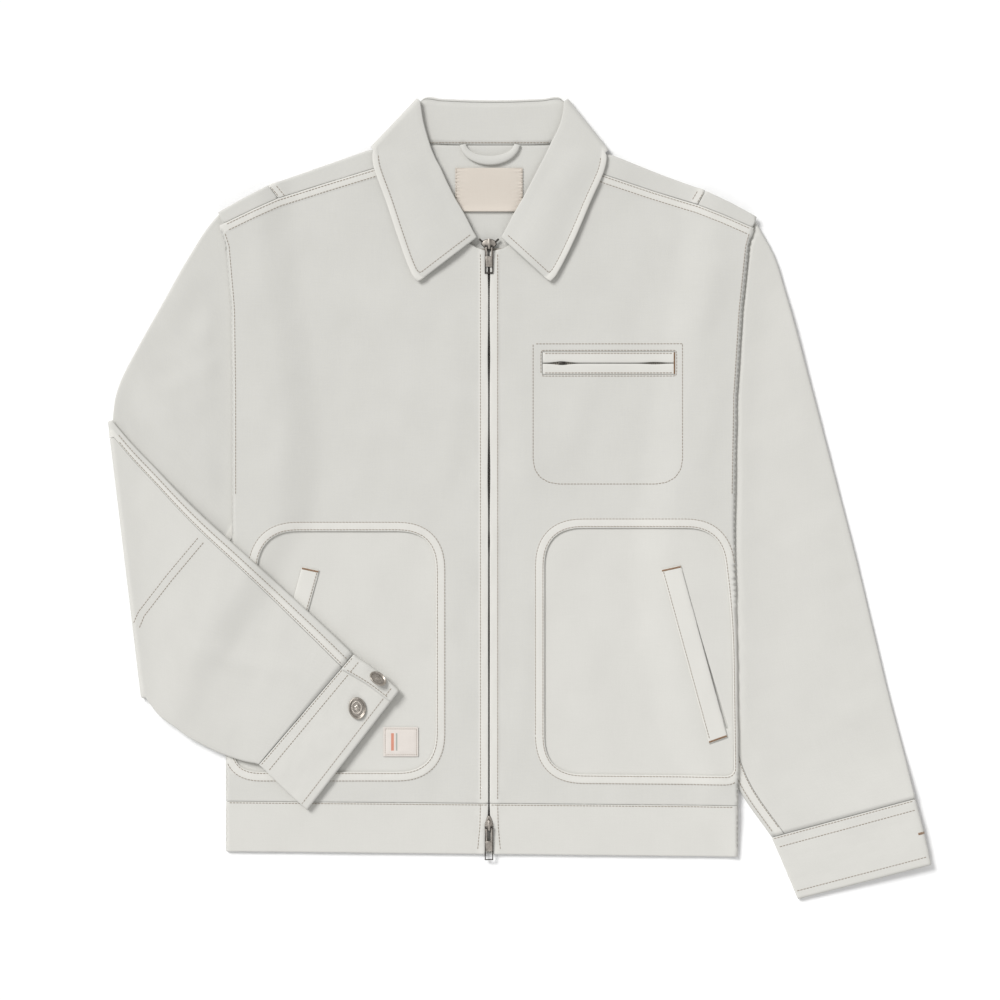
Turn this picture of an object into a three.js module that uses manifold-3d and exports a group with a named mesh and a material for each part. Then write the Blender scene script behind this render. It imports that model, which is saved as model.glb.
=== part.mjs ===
// A zip-front work jacket in heavy cotton twill, laid flat on its back with its front up.
// Millimetres, +Z up. +Y runs from the hem to the collar, +X to the wearer's left.
// The wearer's right sleeve (on -X) is folded over the body at the elbow.

import * as THREE from 'three';
import { mergeVertices } from 'three/addons/utils/BufferGeometryUtils.js';
import Module from 'manifold-3d';

const wasm = await Module();
wasm.setup();

// Cloth and the way its layers lie
const CLOTH = 1.2;
const GAP = 0.3;
const SLEEVE_HEIGHT = 4.2;
const SLEEVE_LIFT = SLEEVE_HEIGHT + 0.5;
const COLLAR_LIFT = CLOTH + GAP;
const LIFT_RAMP = 40;
const LAYER = { back: 0, pocket: 1.5, front: 3.0 };
const BODY_HEIGHT = LAYER.front + CLOTH;
const SIDE_ROLL = BODY_HEIGHT / 2;
const BACK_INSET = 3.6;

// The laid jacket's box, which sets the origin under its middle
const BOX_MIDDLE = { x: 28.2, y: 326.1 };

// Edges of the laid body, from the hem up
const BODY_SIDES = [
  { y: -10, left: -242, right: 229 },
  { y: 80, left: -242, right: 229 },
  { y: 300, left: -236, right: 226 },
  { y: 420, left: -236, right: 228 },
  { y: 500, left: -237, right: 233 },
  { y: 558, left: -242, right: 239 },
  { y: 590, left: -252, right: 248 },
];

// Hidden inner edges of the sleeves, on which the body lies
const SLEEVE_INNER = [
  { y: -43, left: -330, right: 284 },
  { y: 15, left: -330, right: 260 },
  { y: 60, left: -330, right: 228 },
  { y: 101, left: -325, right: 212 },
  { y: 165, left: -300, right: 193 },
  { y: 232, left: -255, right: 181 },
  { y: 312, left: -209, right: 186 },
  { y: 398, left: -205, right: 198 },
  { y: 480, left: -216, right: 211 },
  { y: 524, left: -224, right: 219 },
  { y: 556, left: -230, right: 226 },
];

// Reads a column of a table at a height, straight between its rows
function readTable(table, column, y) {
  if (y <= table[0].y) return table[0][column];
  for (let i = 1; i < table.length; i += 1) {
    const below = table[i - 1];
    const above = table[i];
    if (y <= above.y) {
      const share = (y - below.y) / (above.y - below.y);
      return THREE.MathUtils.lerp(below[column], above[column], share);
    }
  }
  return table[table.length - 1][column];
}

// How far the body is lifted by the sleeves under its sides and by the collar under its neck
function lift(x, y) {
  const overLeft = readTable(SLEEVE_INNER, 'left', y) + 14 - x;
  const overRight = x - readTable(SLEEVE_INNER, 'right', y) + 14;
  const over = Math.max(overLeft, overRight);
  const sleeve = SLEEVE_LIFT * THREE.MathUtils.smoothstep(over, -LIFT_RAMP, 0);
  const up = THREE.MathUtils.smoothstep(y, 600, 630);
  const across = 1 - THREE.MathUtils.smoothstep(Math.abs(x - 3), 112, 150);
  return Math.max(sleeve, COLLAR_LIFT * up * across);
}

// Closes two matching point grids, an outer and an inner face, into one wall
function wallGeometry(outer, inner) {
  const rows = outer.length;
  const columns = outer[0].length;
  const positions = [];
  for (const grid of [outer, inner]) {
    for (const row of grid) {
      for (const point of row) positions.push(point.x, point.y, point.z);
    }
  }
  const out = (i, j) => i * columns + j;
  const back = (i, j) => (rows + i) * columns + j;
  const index = [];
  const quad = (a, b, c, d) => index.push(a, b, c, a, c, d);
  for (let i = 0; i < rows - 1; i += 1) {
    for (let j = 0; j < columns - 1; j += 1) {
      quad(out(i, j), out(i + 1, j), out(i + 1, j + 1), out(i, j + 1));
      index.push(back(i, j), back(i + 1, j + 1), back(i + 1, j));
      index.push(back(i, j), back(i, j + 1), back(i + 1, j + 1));
    }
    quad(out(i + 1, 0), out(i, 0), back(i, 0), back(i + 1, 0));
    const last = columns - 1;
    quad(out(i, last), out(i + 1, last), back(i + 1, last), back(i, last));
  }
  const end = rows - 1;
  for (let j = 0; j < columns - 1; j += 1) {
    quad(out(0, j), out(0, j + 1), back(0, j + 1), back(0, j));
    quad(out(end, j + 1), out(end, j), back(end, j), back(end, j + 1));
  }
  const geometry = new THREE.BufferGeometry();
  geometry.setAttribute('position', new THREE.Float32BufferAttribute(positions, 3));
  geometry.setIndex(volume(geometry, index) < 0 ? index.reverse() : index);
  return geometry;
}

// Signed volume inside a list of triangles
function volume(geometry, index) {
  const position = geometry.getAttribute('position');
  const [a, b, c] = [new THREE.Vector3(), new THREE.Vector3(), new THREE.Vector3()];
  let sum = 0;
  for (let i = 0; i < index.length; i += 3) {
    a.fromBufferAttribute(position, index[i]);
    b.fromBufferAttribute(position, index[i + 1]);
    c.fromBufferAttribute(position, index[i + 2]);
    sum += a.dot(b.cross(c)) / 6;
  }
  return sum;
}

// Cutting and joining. A cutter reaches past every layer, and a cut past the jacket's sides
// ends at CUT_REACH.
const CUTTER = { depth: 60, below: 20 };
const CUT_REACH = 300;
function toSolid(geometry) {
  const bare = geometry.clone();
  bare.deleteAttribute('normal');
  bare.deleteAttribute('uv');
  const merged = mergeVertices(bare, 1e-4);
  return new wasm.Manifold(new wasm.Mesh({
    numProp: 3,
    vertProperties: new Float32Array(merged.getAttribute('position').array),
    triVerts: new Uint32Array(merged.getIndex().array),
  }));
}

function toGeometry(solid) {
  const mesh = solid.getMesh();
  const geometry = new THREE.BufferGeometry();
  geometry.setAttribute('position', new THREE.BufferAttribute(mesh.vertProperties, 3));
  geometry.setIndex(new THREE.BufferAttribute(mesh.triVerts, 1));
  return geometry;
}

// An upright block with the given outline, tall enough to cut through every layer
function cutter(shape) {
  const block = new THREE.ExtrudeGeometry(shape, {
    depth: CUTTER.depth, bevelEnabled: false, curveSegments: 6,
  });
  block.translate(0, 0, -CUTTER.below);
  return toSolid(block);
}

function outline(points) {
  return new THREE.Shape(points.map(([x, y]) => new THREE.Vector2(x, y)));
}

function roundedRectangle({ left, right, bottom, top, radius }) {
  const shape = new THREE.Shape();
  shape.moveTo(left + radius, bottom);
  shape.lineTo(right - radius, bottom);
  shape.absarc(right - radius, bottom + radius, radius, -Math.PI / 2, 0);
  shape.lineTo(right, top - radius);
  shape.absarc(right - radius, top - radius, radius, 0, Math.PI / 2);
  shape.lineTo(left + radius, top);
  shape.absarc(left + radius, top - radius, radius, Math.PI / 2, Math.PI);
  shape.lineTo(left, bottom + radius);
  shape.absarc(left + radius, bottom + radius, radius, Math.PI, Math.PI * 1.5);
  return shape;
}

// A shape with its corners rounded; each corner gives how far from it the curve begins
function roundedShape(corners) {
  const shape = new THREE.Shape();
  corners.forEach(([x, y, start], i) => {
    const corner = new THREE.Vector2(x, y);
    const [before, after] = [i + corners.length - 1, i + 1].map((k) => {
      const [nextX, nextY] = corners[k % corners.length];
      return new THREE.Vector2(nextX, nextY).sub(corner).setLength(start).add(corner);
    });
    if (i === 0) shape.moveTo(before.x, before.y);
    else shape.lineTo(before.x, before.y);
    shape.quadraticCurveTo(x, y, after.x, after.y);
  });
  return shape;
}

// Materials
const jacket = new THREE.Group();
jacket.position.set(-BOX_MIDDLE.x, -BOX_MIDDLE.y, 0);

const FINISH = {
  twill: { color: 0xdcdbd3, roughness: 0.9, metalness: 0 },
  label: { color: 0xe6dcd2, roughness: 0.8, metalness: 0 },
  tape: { color: 0xb9b3a7, roughness: 0.85, metalness: 0 },
  nickel: { color: 0x6f6a64, roughness: 0.35, metalness: 1 },
};

function add(name, geometry, finish) {
  const mesh = new THREE.Mesh(geometry, new THREE.MeshStandardMaterial(FINISH[finish]));
  mesh.name = name;
  jacket.add(mesh);
  return mesh;
}

// Body layers
const ROW_HEIGHTS = [-12, 24, 50, 80, 110, 140, 170, 200, 230, 260, 290, 320, 350, 380, 410, 440, 470,
  500, 530, 556, 580, 600, 615, 630, 645, 662];
const COLUMN_INSETS = [BACK_INSET, 12, 22, 33, 45, 58, 72, 90, 120, 165];
const ROLL_STEPS = 4;

// Points across the body at one height; the front layer also turns under at both sides
function bodyRow(y, bottom, top, rolled) {
  const left = readTable(BODY_SIDES, 'left', y);
  const right = readTable(BODY_SIDES, 'right', y);
  const flat = [...COLUMN_INSETS.map((inset) => left + inset), (left + right) / 2,
    ...COLUMN_INSETS.map((inset) => right - inset).reverse()];
  const outer = flat.map((x) => [x, top]);
  const inner = flat.map((x) => [x, bottom]);
  if (rolled) {
    for (const [edge, side] of [[left, -1], [right, 1]]) {
      const centre = edge - side * SIDE_ROLL;
      for (let k = 0; k <= ROLL_STEPS; k += 1) {
        const angle = (Math.PI * k) / ROLL_STEPS;
        const reach = Math.sin(angle) * side;
        const rise = Math.cos(angle);
        const outerPoint = [centre + reach * SIDE_ROLL, SIDE_ROLL + rise * SIDE_ROLL];
        const innerRadius = SIDE_ROLL - CLOTH;
        const innerPoint = [centre + reach * innerRadius, SIDE_ROLL + rise * innerRadius];
        if (side < 0) {
          outer.unshift(outerPoint);
          inner.unshift(innerPoint);
        } else {
          outer.push(outerPoint);
          inner.push(innerPoint);
        }
      }
    }
  }
  const place = ([x, z]) => new THREE.Vector3(x, y, z + lift(x, y));
  return { outer: outer.map(place), inner: inner.map(place) };
}

function bodyLayer(bottom, rolled = false) {
  const rows = ROW_HEIGHTS.map((y) => bodyRow(y, bottom, bottom + CLOTH, rolled));
  return toSolid(wallGeometry(rows.map((row) => row.outer), rows.map((row) => row.inner)));
}

const backLayer = bodyLayer(LAYER.back);
const pocketLayer = bodyLayer(LAYER.pocket);
const frontLayer = bodyLayer(LAYER.front, true);
const flatFrontLayer = bodyLayer(LAYER.front);

function cutFrom(layer, shape, holes = []) {
  let piece = layer.intersect(cutter(shape));
  for (const hole of holes) piece = piece.subtract(cutter(hole));
  return piece;
}

// Shoulders: the back turns over the shoulder fold and meets the front at a forward seam
const SHOULDER_LEFT = [
  { foldX: -96, foldY: 648, seamX: -92, seamY: 634 },
  { foldX: -112, foldY: 646, seamX: -107, seamY: 629 },
  { foldX: -158, foldY: 630, seamX: -150, seamY: 616 },
  { foldX: -203, foldY: 614, seamX: -194, seamY: 602 },
  { foldX: -226, foldY: 602, seamX: -218, seamY: 591 },
  { foldX: -249, foldY: 589, seamX: -243, seamY: 579 },
];
const SHOULDER_RIGHT = [
  { foldX: 96, foldY: 647, seamX: 93, seamY: 629 },
  { foldX: 118, foldY: 640, seamX: 108, seamY: 623 },
  { foldX: 158, foldY: 624, seamX: 150, seamY: 609 },
  { foldX: 199, foldY: 609, seamX: 192, seamY: 596 },
  { foldX: 222, foldY: 598, seamX: 217, seamY: 586 },
  { foldX: 246, foldY: 585, seamX: 242, seamY: 575 },
];
const SIDE_SEAM_ROW = 3;
const PANEL_END = 5;
const TURN_TUCK = 3;

// A strip of the back that turns over the fold, for some rows of a shoulder table
function shoulderTurn(table, first, last) {
  const outer = [];
  const inner = [];
  for (let i = first; i <= last; i += 1) {
    const { foldX, foldY, seamX, seamY } = table[i];
    const fold = new THREE.Vector2(foldX, foldY);
    const seam = new THREE.Vector2(seamX, seamY);
    const width = fold.distanceTo(seam);
    const forward = seam.clone().sub(fold).normalize();
    const sides = { outer: [], inner: [] };
    const put = (distance, outerZ, innerDistance, innerZ) => {
      const place = (along, z) => {
        const x = foldX + forward.x * along;
        const y = foldY + forward.y * along;
        return new THREE.Vector3(x, y, z + lift(x, y));
      };
      sides.outer.push(place(distance, outerZ));
      sides.inner.push(place(innerDistance, innerZ));
    };
    put(PANEL_END + TURN_TUCK, 0.1, PANEL_END + TURN_TUCK, CLOTH - 0.1);
    for (let k = 0; k <= ROLL_STEPS; k += 1) {
      const angle = (Math.PI * k) / ROLL_STEPS;
      const inward = SIDE_ROLL - CLOTH;
      put(SIDE_ROLL * (1 - Math.sin(angle)), SIDE_ROLL * (1 - Math.cos(angle)),
        SIDE_ROLL - inward * Math.sin(angle), SIDE_ROLL - inward * Math.cos(angle));
    }
    put(width - GAP / 2, BODY_HEIGHT, width - GAP / 2, LAYER.front);
    outer.push(sides.outer);
    inner.push(sides.inner);
  }
  return toSolid(wallGeometry(outer, inner));
}

// A shoulder table's line a fixed distance below the fold, where the flat panels end
function belowFold(table, distance) {
  return table.map(({ foldX, foldY, seamX, seamY }) => {
    const forward = new THREE.Vector2(seamX - foldX, seamY - foldY).normalize();
    return [foldX + forward.x * distance, foldY + forward.y * distance];
  });
}

const seamLine = (table) => table.map(({ seamX, seamY }) => [seamX, seamY]);

// Hem
const HEM = { leftBottom: 2, rightBottom: -3, leftSeam: 48, rightSeam: 44 };
const HALF_GAP = GAP / 2;
const hemAt = (left, right, x) => THREE.MathUtils.mapLinear(x, -242, 229, left, right);
const hemBottom = (x) => hemAt(HEM.leftBottom, HEM.rightBottom, x);
const hemSeam = (x) => hemAt(HEM.leftSeam, HEM.rightSeam, x);

// Back: a centre panel and two side panels, with seams that run from the shoulder to the hem
const BACK_SEAM = { hemLeft: -168, hemRight: 158 };
const NECK_SEAM_Y = 651;
const SEAM_BEND = PANEL_END + TURN_TUCK + 1;
const leftPanelTop = belowFold(SHOULDER_LEFT, PANEL_END);
const rightPanelTop = belowFold(SHOULDER_RIGHT, PANEL_END);
const leftBend = belowFold(SHOULDER_LEFT, SEAM_BEND)[SIDE_SEAM_ROW];
const rightBend = belowFold(SHOULDER_RIGHT, SEAM_BEND)[SIDE_SEAM_ROW];

const backCentre = cutFrom(backLayer, outline([
  [BACK_SEAM.hemLeft + GAP, hemSeam(BACK_SEAM.hemLeft) + HALF_GAP],
  [BACK_SEAM.hemRight - GAP, hemSeam(BACK_SEAM.hemRight) + HALF_GAP],
  [rightBend[0] - 1.5 * GAP, rightBend[1]],
  [rightPanelTop[SIDE_SEAM_ROW][0] - 1.5 * GAP, rightPanelTop[SIDE_SEAM_ROW][1]],
  ...rightPanelTop.slice(0, SIDE_SEAM_ROW).reverse(),
  [56, NECK_SEAM_Y - HALF_GAP],
  [-54, NECK_SEAM_Y - HALF_GAP],
  ...leftPanelTop.slice(0, SIDE_SEAM_ROW),
  [leftPanelTop[SIDE_SEAM_ROW][0] + 1.5 * GAP, leftPanelTop[SIDE_SEAM_ROW][1]],
  [leftBend[0] + 1.5 * GAP, leftBend[1]],
]));

// Trims the last bit off a shoulder strip, so that panels stay a gap apart at the side seam
function seamTrim(table, towardsCentre) {
  const { foldX, foldY, seamX, seamY } = table[SIDE_SEAM_ROW];
  const shift = towardsCentre * 1.5 * GAP;
  const far = towardsCentre * CUT_REACH;
  return cutter(outline([
    [foldX + (foldX - seamX) + shift, foldY + (foldY - seamY)],
    [seamX - (foldX - seamX) + shift, seamY - (foldY - seamY)],
    [seamX + far, seamY - (foldY - seamY)],
    [foldX + far, foldY + (foldY - seamY)],
  ]));
}
const backCentreAll = backCentre
  .add(shoulderTurn(SHOULDER_LEFT, 0, SIDE_SEAM_ROW).intersect(seamTrim(SHOULDER_LEFT, 1)))
  .add(shoulderTurn(SHOULDER_RIGHT, 0, SIDE_SEAM_ROW).intersect(seamTrim(SHOULDER_RIGHT, -1)));
add('back_centre', toGeometry(backCentreAll), 'twill');

const LAST_ROW = SHOULDER_LEFT.length - 1;
for (const [name, table, top, bend, hemX, side] of [
  ['side_back_right', SHOULDER_LEFT, leftPanelTop, leftBend, BACK_SEAM.hemLeft, -1],
  ['side_back_left', SHOULDER_RIGHT, rightPanelTop, rightBend, BACK_SEAM.hemRight, 1],
]) {
  const panel = cutFrom(backLayer, outline([
    [hemX, hemSeam(hemX) + HALF_GAP],
    bend,
    top[SIDE_SEAM_ROW],
    ...top.slice(SIDE_SEAM_ROW + 1),
    [side * CUT_REACH, top[LAST_ROW][1] - 6],
    [side * CUT_REACH, hemSeam(side * CUT_REACH) + HALF_GAP],
  ]));
  const turn = shoulderTurn(table, SIDE_SEAM_ROW, LAST_ROW);
  add(name, toGeometry(panel.add(turn)), 'twill');
}

add('hem_back', toGeometry(cutFrom(backLayer, outline([
  [-CUT_REACH, hemBottom(-CUT_REACH)],
  [CUT_REACH, hemBottom(CUT_REACH)],
  [CUT_REACH, hemSeam(CUT_REACH) - HALF_GAP],
  [-CUT_REACH, hemSeam(-CUT_REACH) - HALF_GAP],
]))), 'twill');

// Fronts: each is cut away round its inset hand pocket, and meets the zip at the middle
const ZIP_HALF_GAP = 0.8;
const POCKET_OPENINGS = [
  { name: 'right', side: -1, inner: -49, bottom: 75, top: 296,
    corners: [[-238, 75, 28], [-49, 75, 35], [-49, 296, 35], [-208.5, 296, 32]] },
  { name: 'left', side: 1, inner: 51, bottom: 73, top: 299,
    corners: [[51, 73, 35], [225, 71.5, 8], [223, 215, 40], [213, 299, 32], [51, 299, 35]] },
];
const POCKET_ALLOWANCE = 10;
const NECK_LEFT = [[-78, 637], [-68, 615], [-50, 588], [-30, 568], [-12, 557]];
const NECK_RIGHT = [[80, 634], [70, 612], [52, 586], [32, 567], [13, 556]];
const CHEST_WINDOW = { left: 49, right: 171, bottom: 440, top: 461 };
const rectangle = ({ left, right, bottom, top }) => outline([
  [left, bottom], [right, bottom], [right, top], [left, top],
]);

for (const [opening, shoulder, neck] of [
  [POCKET_OPENINGS[0], SHOULDER_LEFT, NECK_LEFT],
  [POCKET_OPENINGS[1], SHOULDER_RIGHT, NECK_RIGHT],
]) {
  const { name, side } = opening;
  const seam = seamLine(shoulder);
  const shape = outline([
    [side * ZIP_HALF_GAP, hemSeam(0) + HALF_GAP],
    [side * CUT_REACH, hemSeam(side * CUT_REACH) + HALF_GAP],
    [side * CUT_REACH, seam[LAST_ROW][1] - 4],
    ...seam.map(([x, y]) => [x, y - HALF_GAP]).reverse(),
    ...neck,
    [side * ZIP_HALF_GAP, 553],
  ]);
  const holes = [roundedShape(opening.corners)];
  if (side > 0) holes.push(rectangle(CHEST_WINDOW));
  add(`front_${name}`, toGeometry(cutFrom(frontLayer, shape, holes)), 'twill');

  add(`hem_front_${name}`, toGeometry(cutFrom(frontLayer, outline([
    [side * ZIP_HALF_GAP, hemBottom(0)],
    [side * CUT_REACH, hemBottom(side * CUT_REACH)],
    [side * CUT_REACH, hemSeam(side * CUT_REACH) - HALF_GAP],
    [side * ZIP_HALF_GAP, hemSeam(0) - HALF_GAP],
  ]))), 'twill');
}

// Hand pockets: a panel under the front's opening, with a slanted slit under one edge of a welt
const WELTS = {
  right: [[-172, 263.5], [-156, 260], [-200, 100], [-215, 105.5]],
  left: [[176, 265], [158, 261], [202, 101], [219, 107]],
};
const SLIT = { width: 1.0, inset: 2, ends: 8 };

for (const opening of POCKET_OPENINGS) {
  const { name, side } = opening;
  const grown = {
    left: side < 0 ? -CUT_REACH : opening.inner - POCKET_ALLOWANCE,
    right: side > 0 ? CUT_REACH : opening.inner + POCKET_ALLOWANCE,
    bottom: opening.bottom - POCKET_ALLOWANCE,
    top: opening.top + POCKET_ALLOWANCE,
  };
  const [topOuter, , , bottomOuter] = WELTS[name];
  const near = side * SLIT.inset;
  const far = side * (SLIT.inset + SLIT.width);
  const slit = outline([
    [topOuter[0] - near, topOuter[1] - SLIT.ends],
    [topOuter[0] - far, topOuter[1] - SLIT.ends],
    [bottomOuter[0] - far, bottomOuter[1] + SLIT.ends],
    [bottomOuter[0] - near, bottomOuter[1] + SLIT.ends],
  ]);
  add(`pocket_panel_${name}`, toGeometry(cutFrom(pocketLayer, rectangle(grown), [slit])), 'twill');
  add(`welt_${name}`, toGeometry(cutFrom(flatFrontLayer, outline(WELTS[name]))), 'twill');
}

// Chest pocket: two welts that meet over a short zip, parting a little at its slider
const CHEST_SLIT = { y: 450.5, half: 0.4, open: 1.7, openX: 67, openReach: 12 };
const CHEST_TAPE = { left: 45, right: 175, bottom: 436, top: 465 };
const CHEST_SLIDER = { length: 6, width: 2.2, height: 2 };
function chestWelt(upper) {
  const sign = upper ? 1 : -1;
  const { left, right, bottom, top } = CHEST_WINDOW;
  const far = upper ? top - GAP : bottom + GAP;
  const near = CHEST_SLIT.y + sign * CHEST_SLIT.half;
  return outline([
    [left + GAP, far],
    [left + GAP, near],
    [CHEST_SLIT.openX - CHEST_SLIT.openReach, near],
    [CHEST_SLIT.openX, CHEST_SLIT.y + sign * CHEST_SLIT.open],
    [CHEST_SLIT.openX + CHEST_SLIT.openReach, near],
    [right - GAP, near],
    [right - GAP, far],
  ]);
}
add('chest_welt_upper', toGeometry(cutFrom(flatFrontLayer, chestWelt(true))), 'twill');
add('chest_welt_lower', toGeometry(cutFrom(flatFrontLayer, chestWelt(false))), 'twill');
add('chest_zip_tape', toGeometry(cutFrom(pocketLayer, rectangle(CHEST_TAPE))), 'tape');
const chestSlider = new THREE.BoxGeometry(CHEST_SLIDER.length, CHEST_SLIDER.width, CHEST_SLIDER.height);
chestSlider.translate(CHEST_SLIT.openX, CHEST_SLIT.y, LAYER.front + CHEST_SLIDER.height / 2);
add('chest_zip_slider', chestSlider, 'nickel');

// Blank patch near the zip on the wearer's right pocket, and the blank neck label
const PATCH = { left: -97, right: -65, bottom: 89, top: 116 };
const NECK_LABEL = { left: -31, right: 31, bottom: 590, top: 630 };
add('pocket_patch', toGeometry(cutFrom(flatFrontLayer, rectangle(PATCH))), 'label');
add('neck_label', toGeometry(cutFrom(pocketLayer, rectangle(NECK_LABEL))), 'label');

// Hanger loop: a round cloth tube, hung in a shallow U from the neck seam
const LOOP = { left: -23, right: 25, top: 649.5, bottom: 634.5, radius: 2.5, z: 5.6, bend: 6 };
const loopPath = new THREE.CurvePath();
const loopPoint = (x, y) => new THREE.Vector3(x, y, LOOP.z);
loopPath.add(new THREE.LineCurve3(loopPoint(LOOP.left, LOOP.top),
  loopPoint(LOOP.left, LOOP.bottom + LOOP.bend)));
loopPath.add(new THREE.QuadraticBezierCurve3(loopPoint(LOOP.left, LOOP.bottom + LOOP.bend),
  loopPoint(LOOP.left, LOOP.bottom), loopPoint(LOOP.left + LOOP.bend, LOOP.bottom)));
loopPath.add(new THREE.LineCurve3(loopPoint(LOOP.left + LOOP.bend, LOOP.bottom),
  loopPoint(LOOP.right - LOOP.bend, LOOP.bottom)));
loopPath.add(new THREE.QuadraticBezierCurve3(loopPoint(LOOP.right - LOOP.bend, LOOP.bottom),
  loopPoint(LOOP.right, LOOP.bottom), loopPoint(LOOP.right, LOOP.bottom + LOOP.bend)));
loopPath.add(new THREE.LineCurve3(loopPoint(LOOP.right, LOOP.bottom + LOOP.bend),
  loopPoint(LOOP.right, LOOP.top)));
const loopRound = new THREE.Shape();
loopRound.absarc(0, 0, LOOP.radius, 0, Math.PI * 2);
add('hanger_loop', new THREE.ExtrudeGeometry(loopRound, {
  steps: 26, extrudePath: loopPath, curveSegments: 4,
}), 'twill');

// Sleeves: flattened tubes, each a top sleeve and an under sleeve that meet at two seams.
// A ring is one section: it runs from the outer fold to the inner fold, with its face side
// turned by an angle about the elbow fold (0 is face up, 180 is face down).
const FACE_STEPS = 6;
const EDGE_STEPS = 4;
const SEAM_INSET = { inner: 12, back: 16 };
const EDGE_RADIUS = SLEEVE_HEIGHT / 2;

// Points of a flattened tube's wall between two places on it, as distance across and height
function tubeArc(width, fromEnd) {
  const points = [];
  for (let k = 0; k <= EDGE_STEPS; k += 1) {
    const angle = (Math.PI * k) / EDGE_STEPS;
    const rise = Math.cos(angle);
    const reach = Math.sin(angle);
    const inward = EDGE_RADIUS - CLOTH;
    const side = fromEnd ? 1 : -1;
    const centre = fromEnd ? width - EDGE_RADIUS : EDGE_RADIUS;
    points.push({
      outer: [centre + side * reach * EDGE_RADIUS, EDGE_RADIUS + rise * EDGE_RADIUS],
      inner: [centre + side * reach * inward, EDGE_RADIUS + rise * inward],
    });
  }
  return points;
}

function face(from, to, top, steps = FACE_STEPS) {
  const outerZ = top ? SLEEVE_HEIGHT : 0;
  const innerZ = top ? SLEEVE_HEIGHT - CLOTH : CLOTH;
  return Array.from({ length: steps + 1 }, (_, k) => {
    const across = THREE.MathUtils.lerp(from, to, k / steps);
    return { outer: [across, outerZ], inner: [across, innerZ] };
  });
}

function topSleeveSection(width) {
  return [
    ...face(width - SEAM_INSET.inner - HALF_GAP, EDGE_RADIUS, true).slice(0, -1),
    ...tubeArc(width, false),
    { outer: [SEAM_INSET.back - HALF_GAP, 0], inner: [SEAM_INSET.back - HALF_GAP, CLOTH] },
  ];
}

function underSleeveSection(width) {
  return [
    { outer: [width - SEAM_INSET.inner + HALF_GAP, SLEEVE_HEIGHT],
      inner: [width - SEAM_INSET.inner + HALF_GAP, SLEEVE_HEIGHT - CLOTH] },
    ...tubeArc(width, true),
    ...face(width - EDGE_RADIUS, SEAM_INSET.back + HALF_GAP, false).slice(1),
  ];
}

// Lofts a section along rings; each ring gives its two ends, its base height and its turn
function loft(rings, section, raise = () => 0) {
  const outer = [];
  const inner = [];
  rings.forEach((ring, index) => {
    const from = new THREE.Vector3(ring.outerX, ring.outerY, ring.baseFrom);
    const to = new THREE.Vector3(ring.innerX, ring.innerY, ring.baseTo);
    const across = to.clone().sub(from);
    const width = across.length();
    across.normalize();
    const away = new THREE.Vector3(-across.y, across.x, 0).normalize().multiplyScalar(ring.fold ?? 1);
    const up = new THREE.Vector3(0, 0, 1);
    const normal = up.multiplyScalar(Math.cos(ring.turn)).addScaledVector(away, -Math.sin(ring.turn));
    const place = ([a, h]) => {
      const point = from.clone().addScaledVector(across, a).addScaledVector(normal, h);
      point.z += raise(point.x, point.y);
      return point;
    };
    const points = section(width, index);
    outer.push(points.map((point) => place(point.outer)));
    inner.push(points.map((point) => place(point.inner)));
  });
  return wallGeometry(outer, inner);
}

// Sleeve on the wearer's left, laid straight; its cuff's edge rests on its buttons
const CUFF_LIFT = 5;
const STRAIGHT_SLEEVE = [
  { outerX: 243, outerY: 584, innerX: 219, innerY: 566, baseFrom: 0 },
  { outerX: 250, outerY: 572, innerX: 227, innerY: 556, baseFrom: 0 },
  { outerX: 262, outerY: 550, innerX: 220, innerY: 524, baseFrom: 0 },
  { outerX: 274, outerY: 512, innerX: 211, innerY: 480, baseFrom: 0 },
  { outerX: 296, outerY: 431, innerX: 198, innerY: 398, baseFrom: 0 },
  { outerX: 318, outerY: 347, innerX: 187, innerY: 312, baseFrom: 0 },
  { outerX: 338, outerY: 270, innerX: 183, innerY: 232, baseFrom: 0 },
  { outerX: 354, outerY: 203, innerX: 195, innerY: 165, baseFrom: 0 },
  { outerX: 369, outerY: 141, innerX: 213, innerY: 101, baseFrom: 0 },
  { outerX: 381, outerY: 95, innerX: 229, innerY: 60, baseFrom: 0.6, baseTo: 0 },
  { outerX: 391.6, outerY: 51, innerX: 259.7, innerY: 15, baseFrom: CUFF_LIFT, baseTo: 0 },
].map((ring) => ({ baseTo: ring.baseFrom, ...ring, turn: 0 }));
add('top_sleeve_left', loft(STRAIGHT_SLEEVE, topSleeveSection), 'twill');
add('under_sleeve_left', loft(STRAIGHT_SLEEVE, underSleeveSection), 'twill');

// Sleeve on the wearer's right: the upper arm lies on the floor, the forearm turns over it
const ELBOW = { outerX: -346, outerY: 398, innerX: -315.5, innerY: 143 };
const UPPER_ARM = [
  { outerX: -248, outerY: 588, innerX: -222, innerY: 567 },
  { outerX: -258, outerY: 576, innerX: -231, innerY: 556 },
  { outerX: -276, outerY: 548, innerX: -223, innerY: 520 },
  { outerX: -298, outerY: 509, innerX: -214, innerY: 462 },
  { outerX: -320, outerY: 470, innerX: -206, innerY: 395 },
  { outerX: -336, outerY: 440, innerX: -210, innerY: 320 },
  { outerX: -343, outerY: 421, innerX: -247, innerY: 250 },
  { outerX: -345, outerY: 408, innerX: -288, innerY: 187 },
].map((ring) => ({ ...ring, baseFrom: 0, baseTo: 0, turn: 0 }));
const FOLD_HEIGHT = SLEEVE_HEIGHT + HALF_GAP;
const FOLD_STEPS = 8;
const elbowAcross = new THREE.Vector2(ELBOW.innerX - ELBOW.outerX, ELBOW.innerY - ELBOW.outerY).normalize();
const elbowAway = new THREE.Vector2(elbowAcross.y, -elbowAcross.x);
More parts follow.
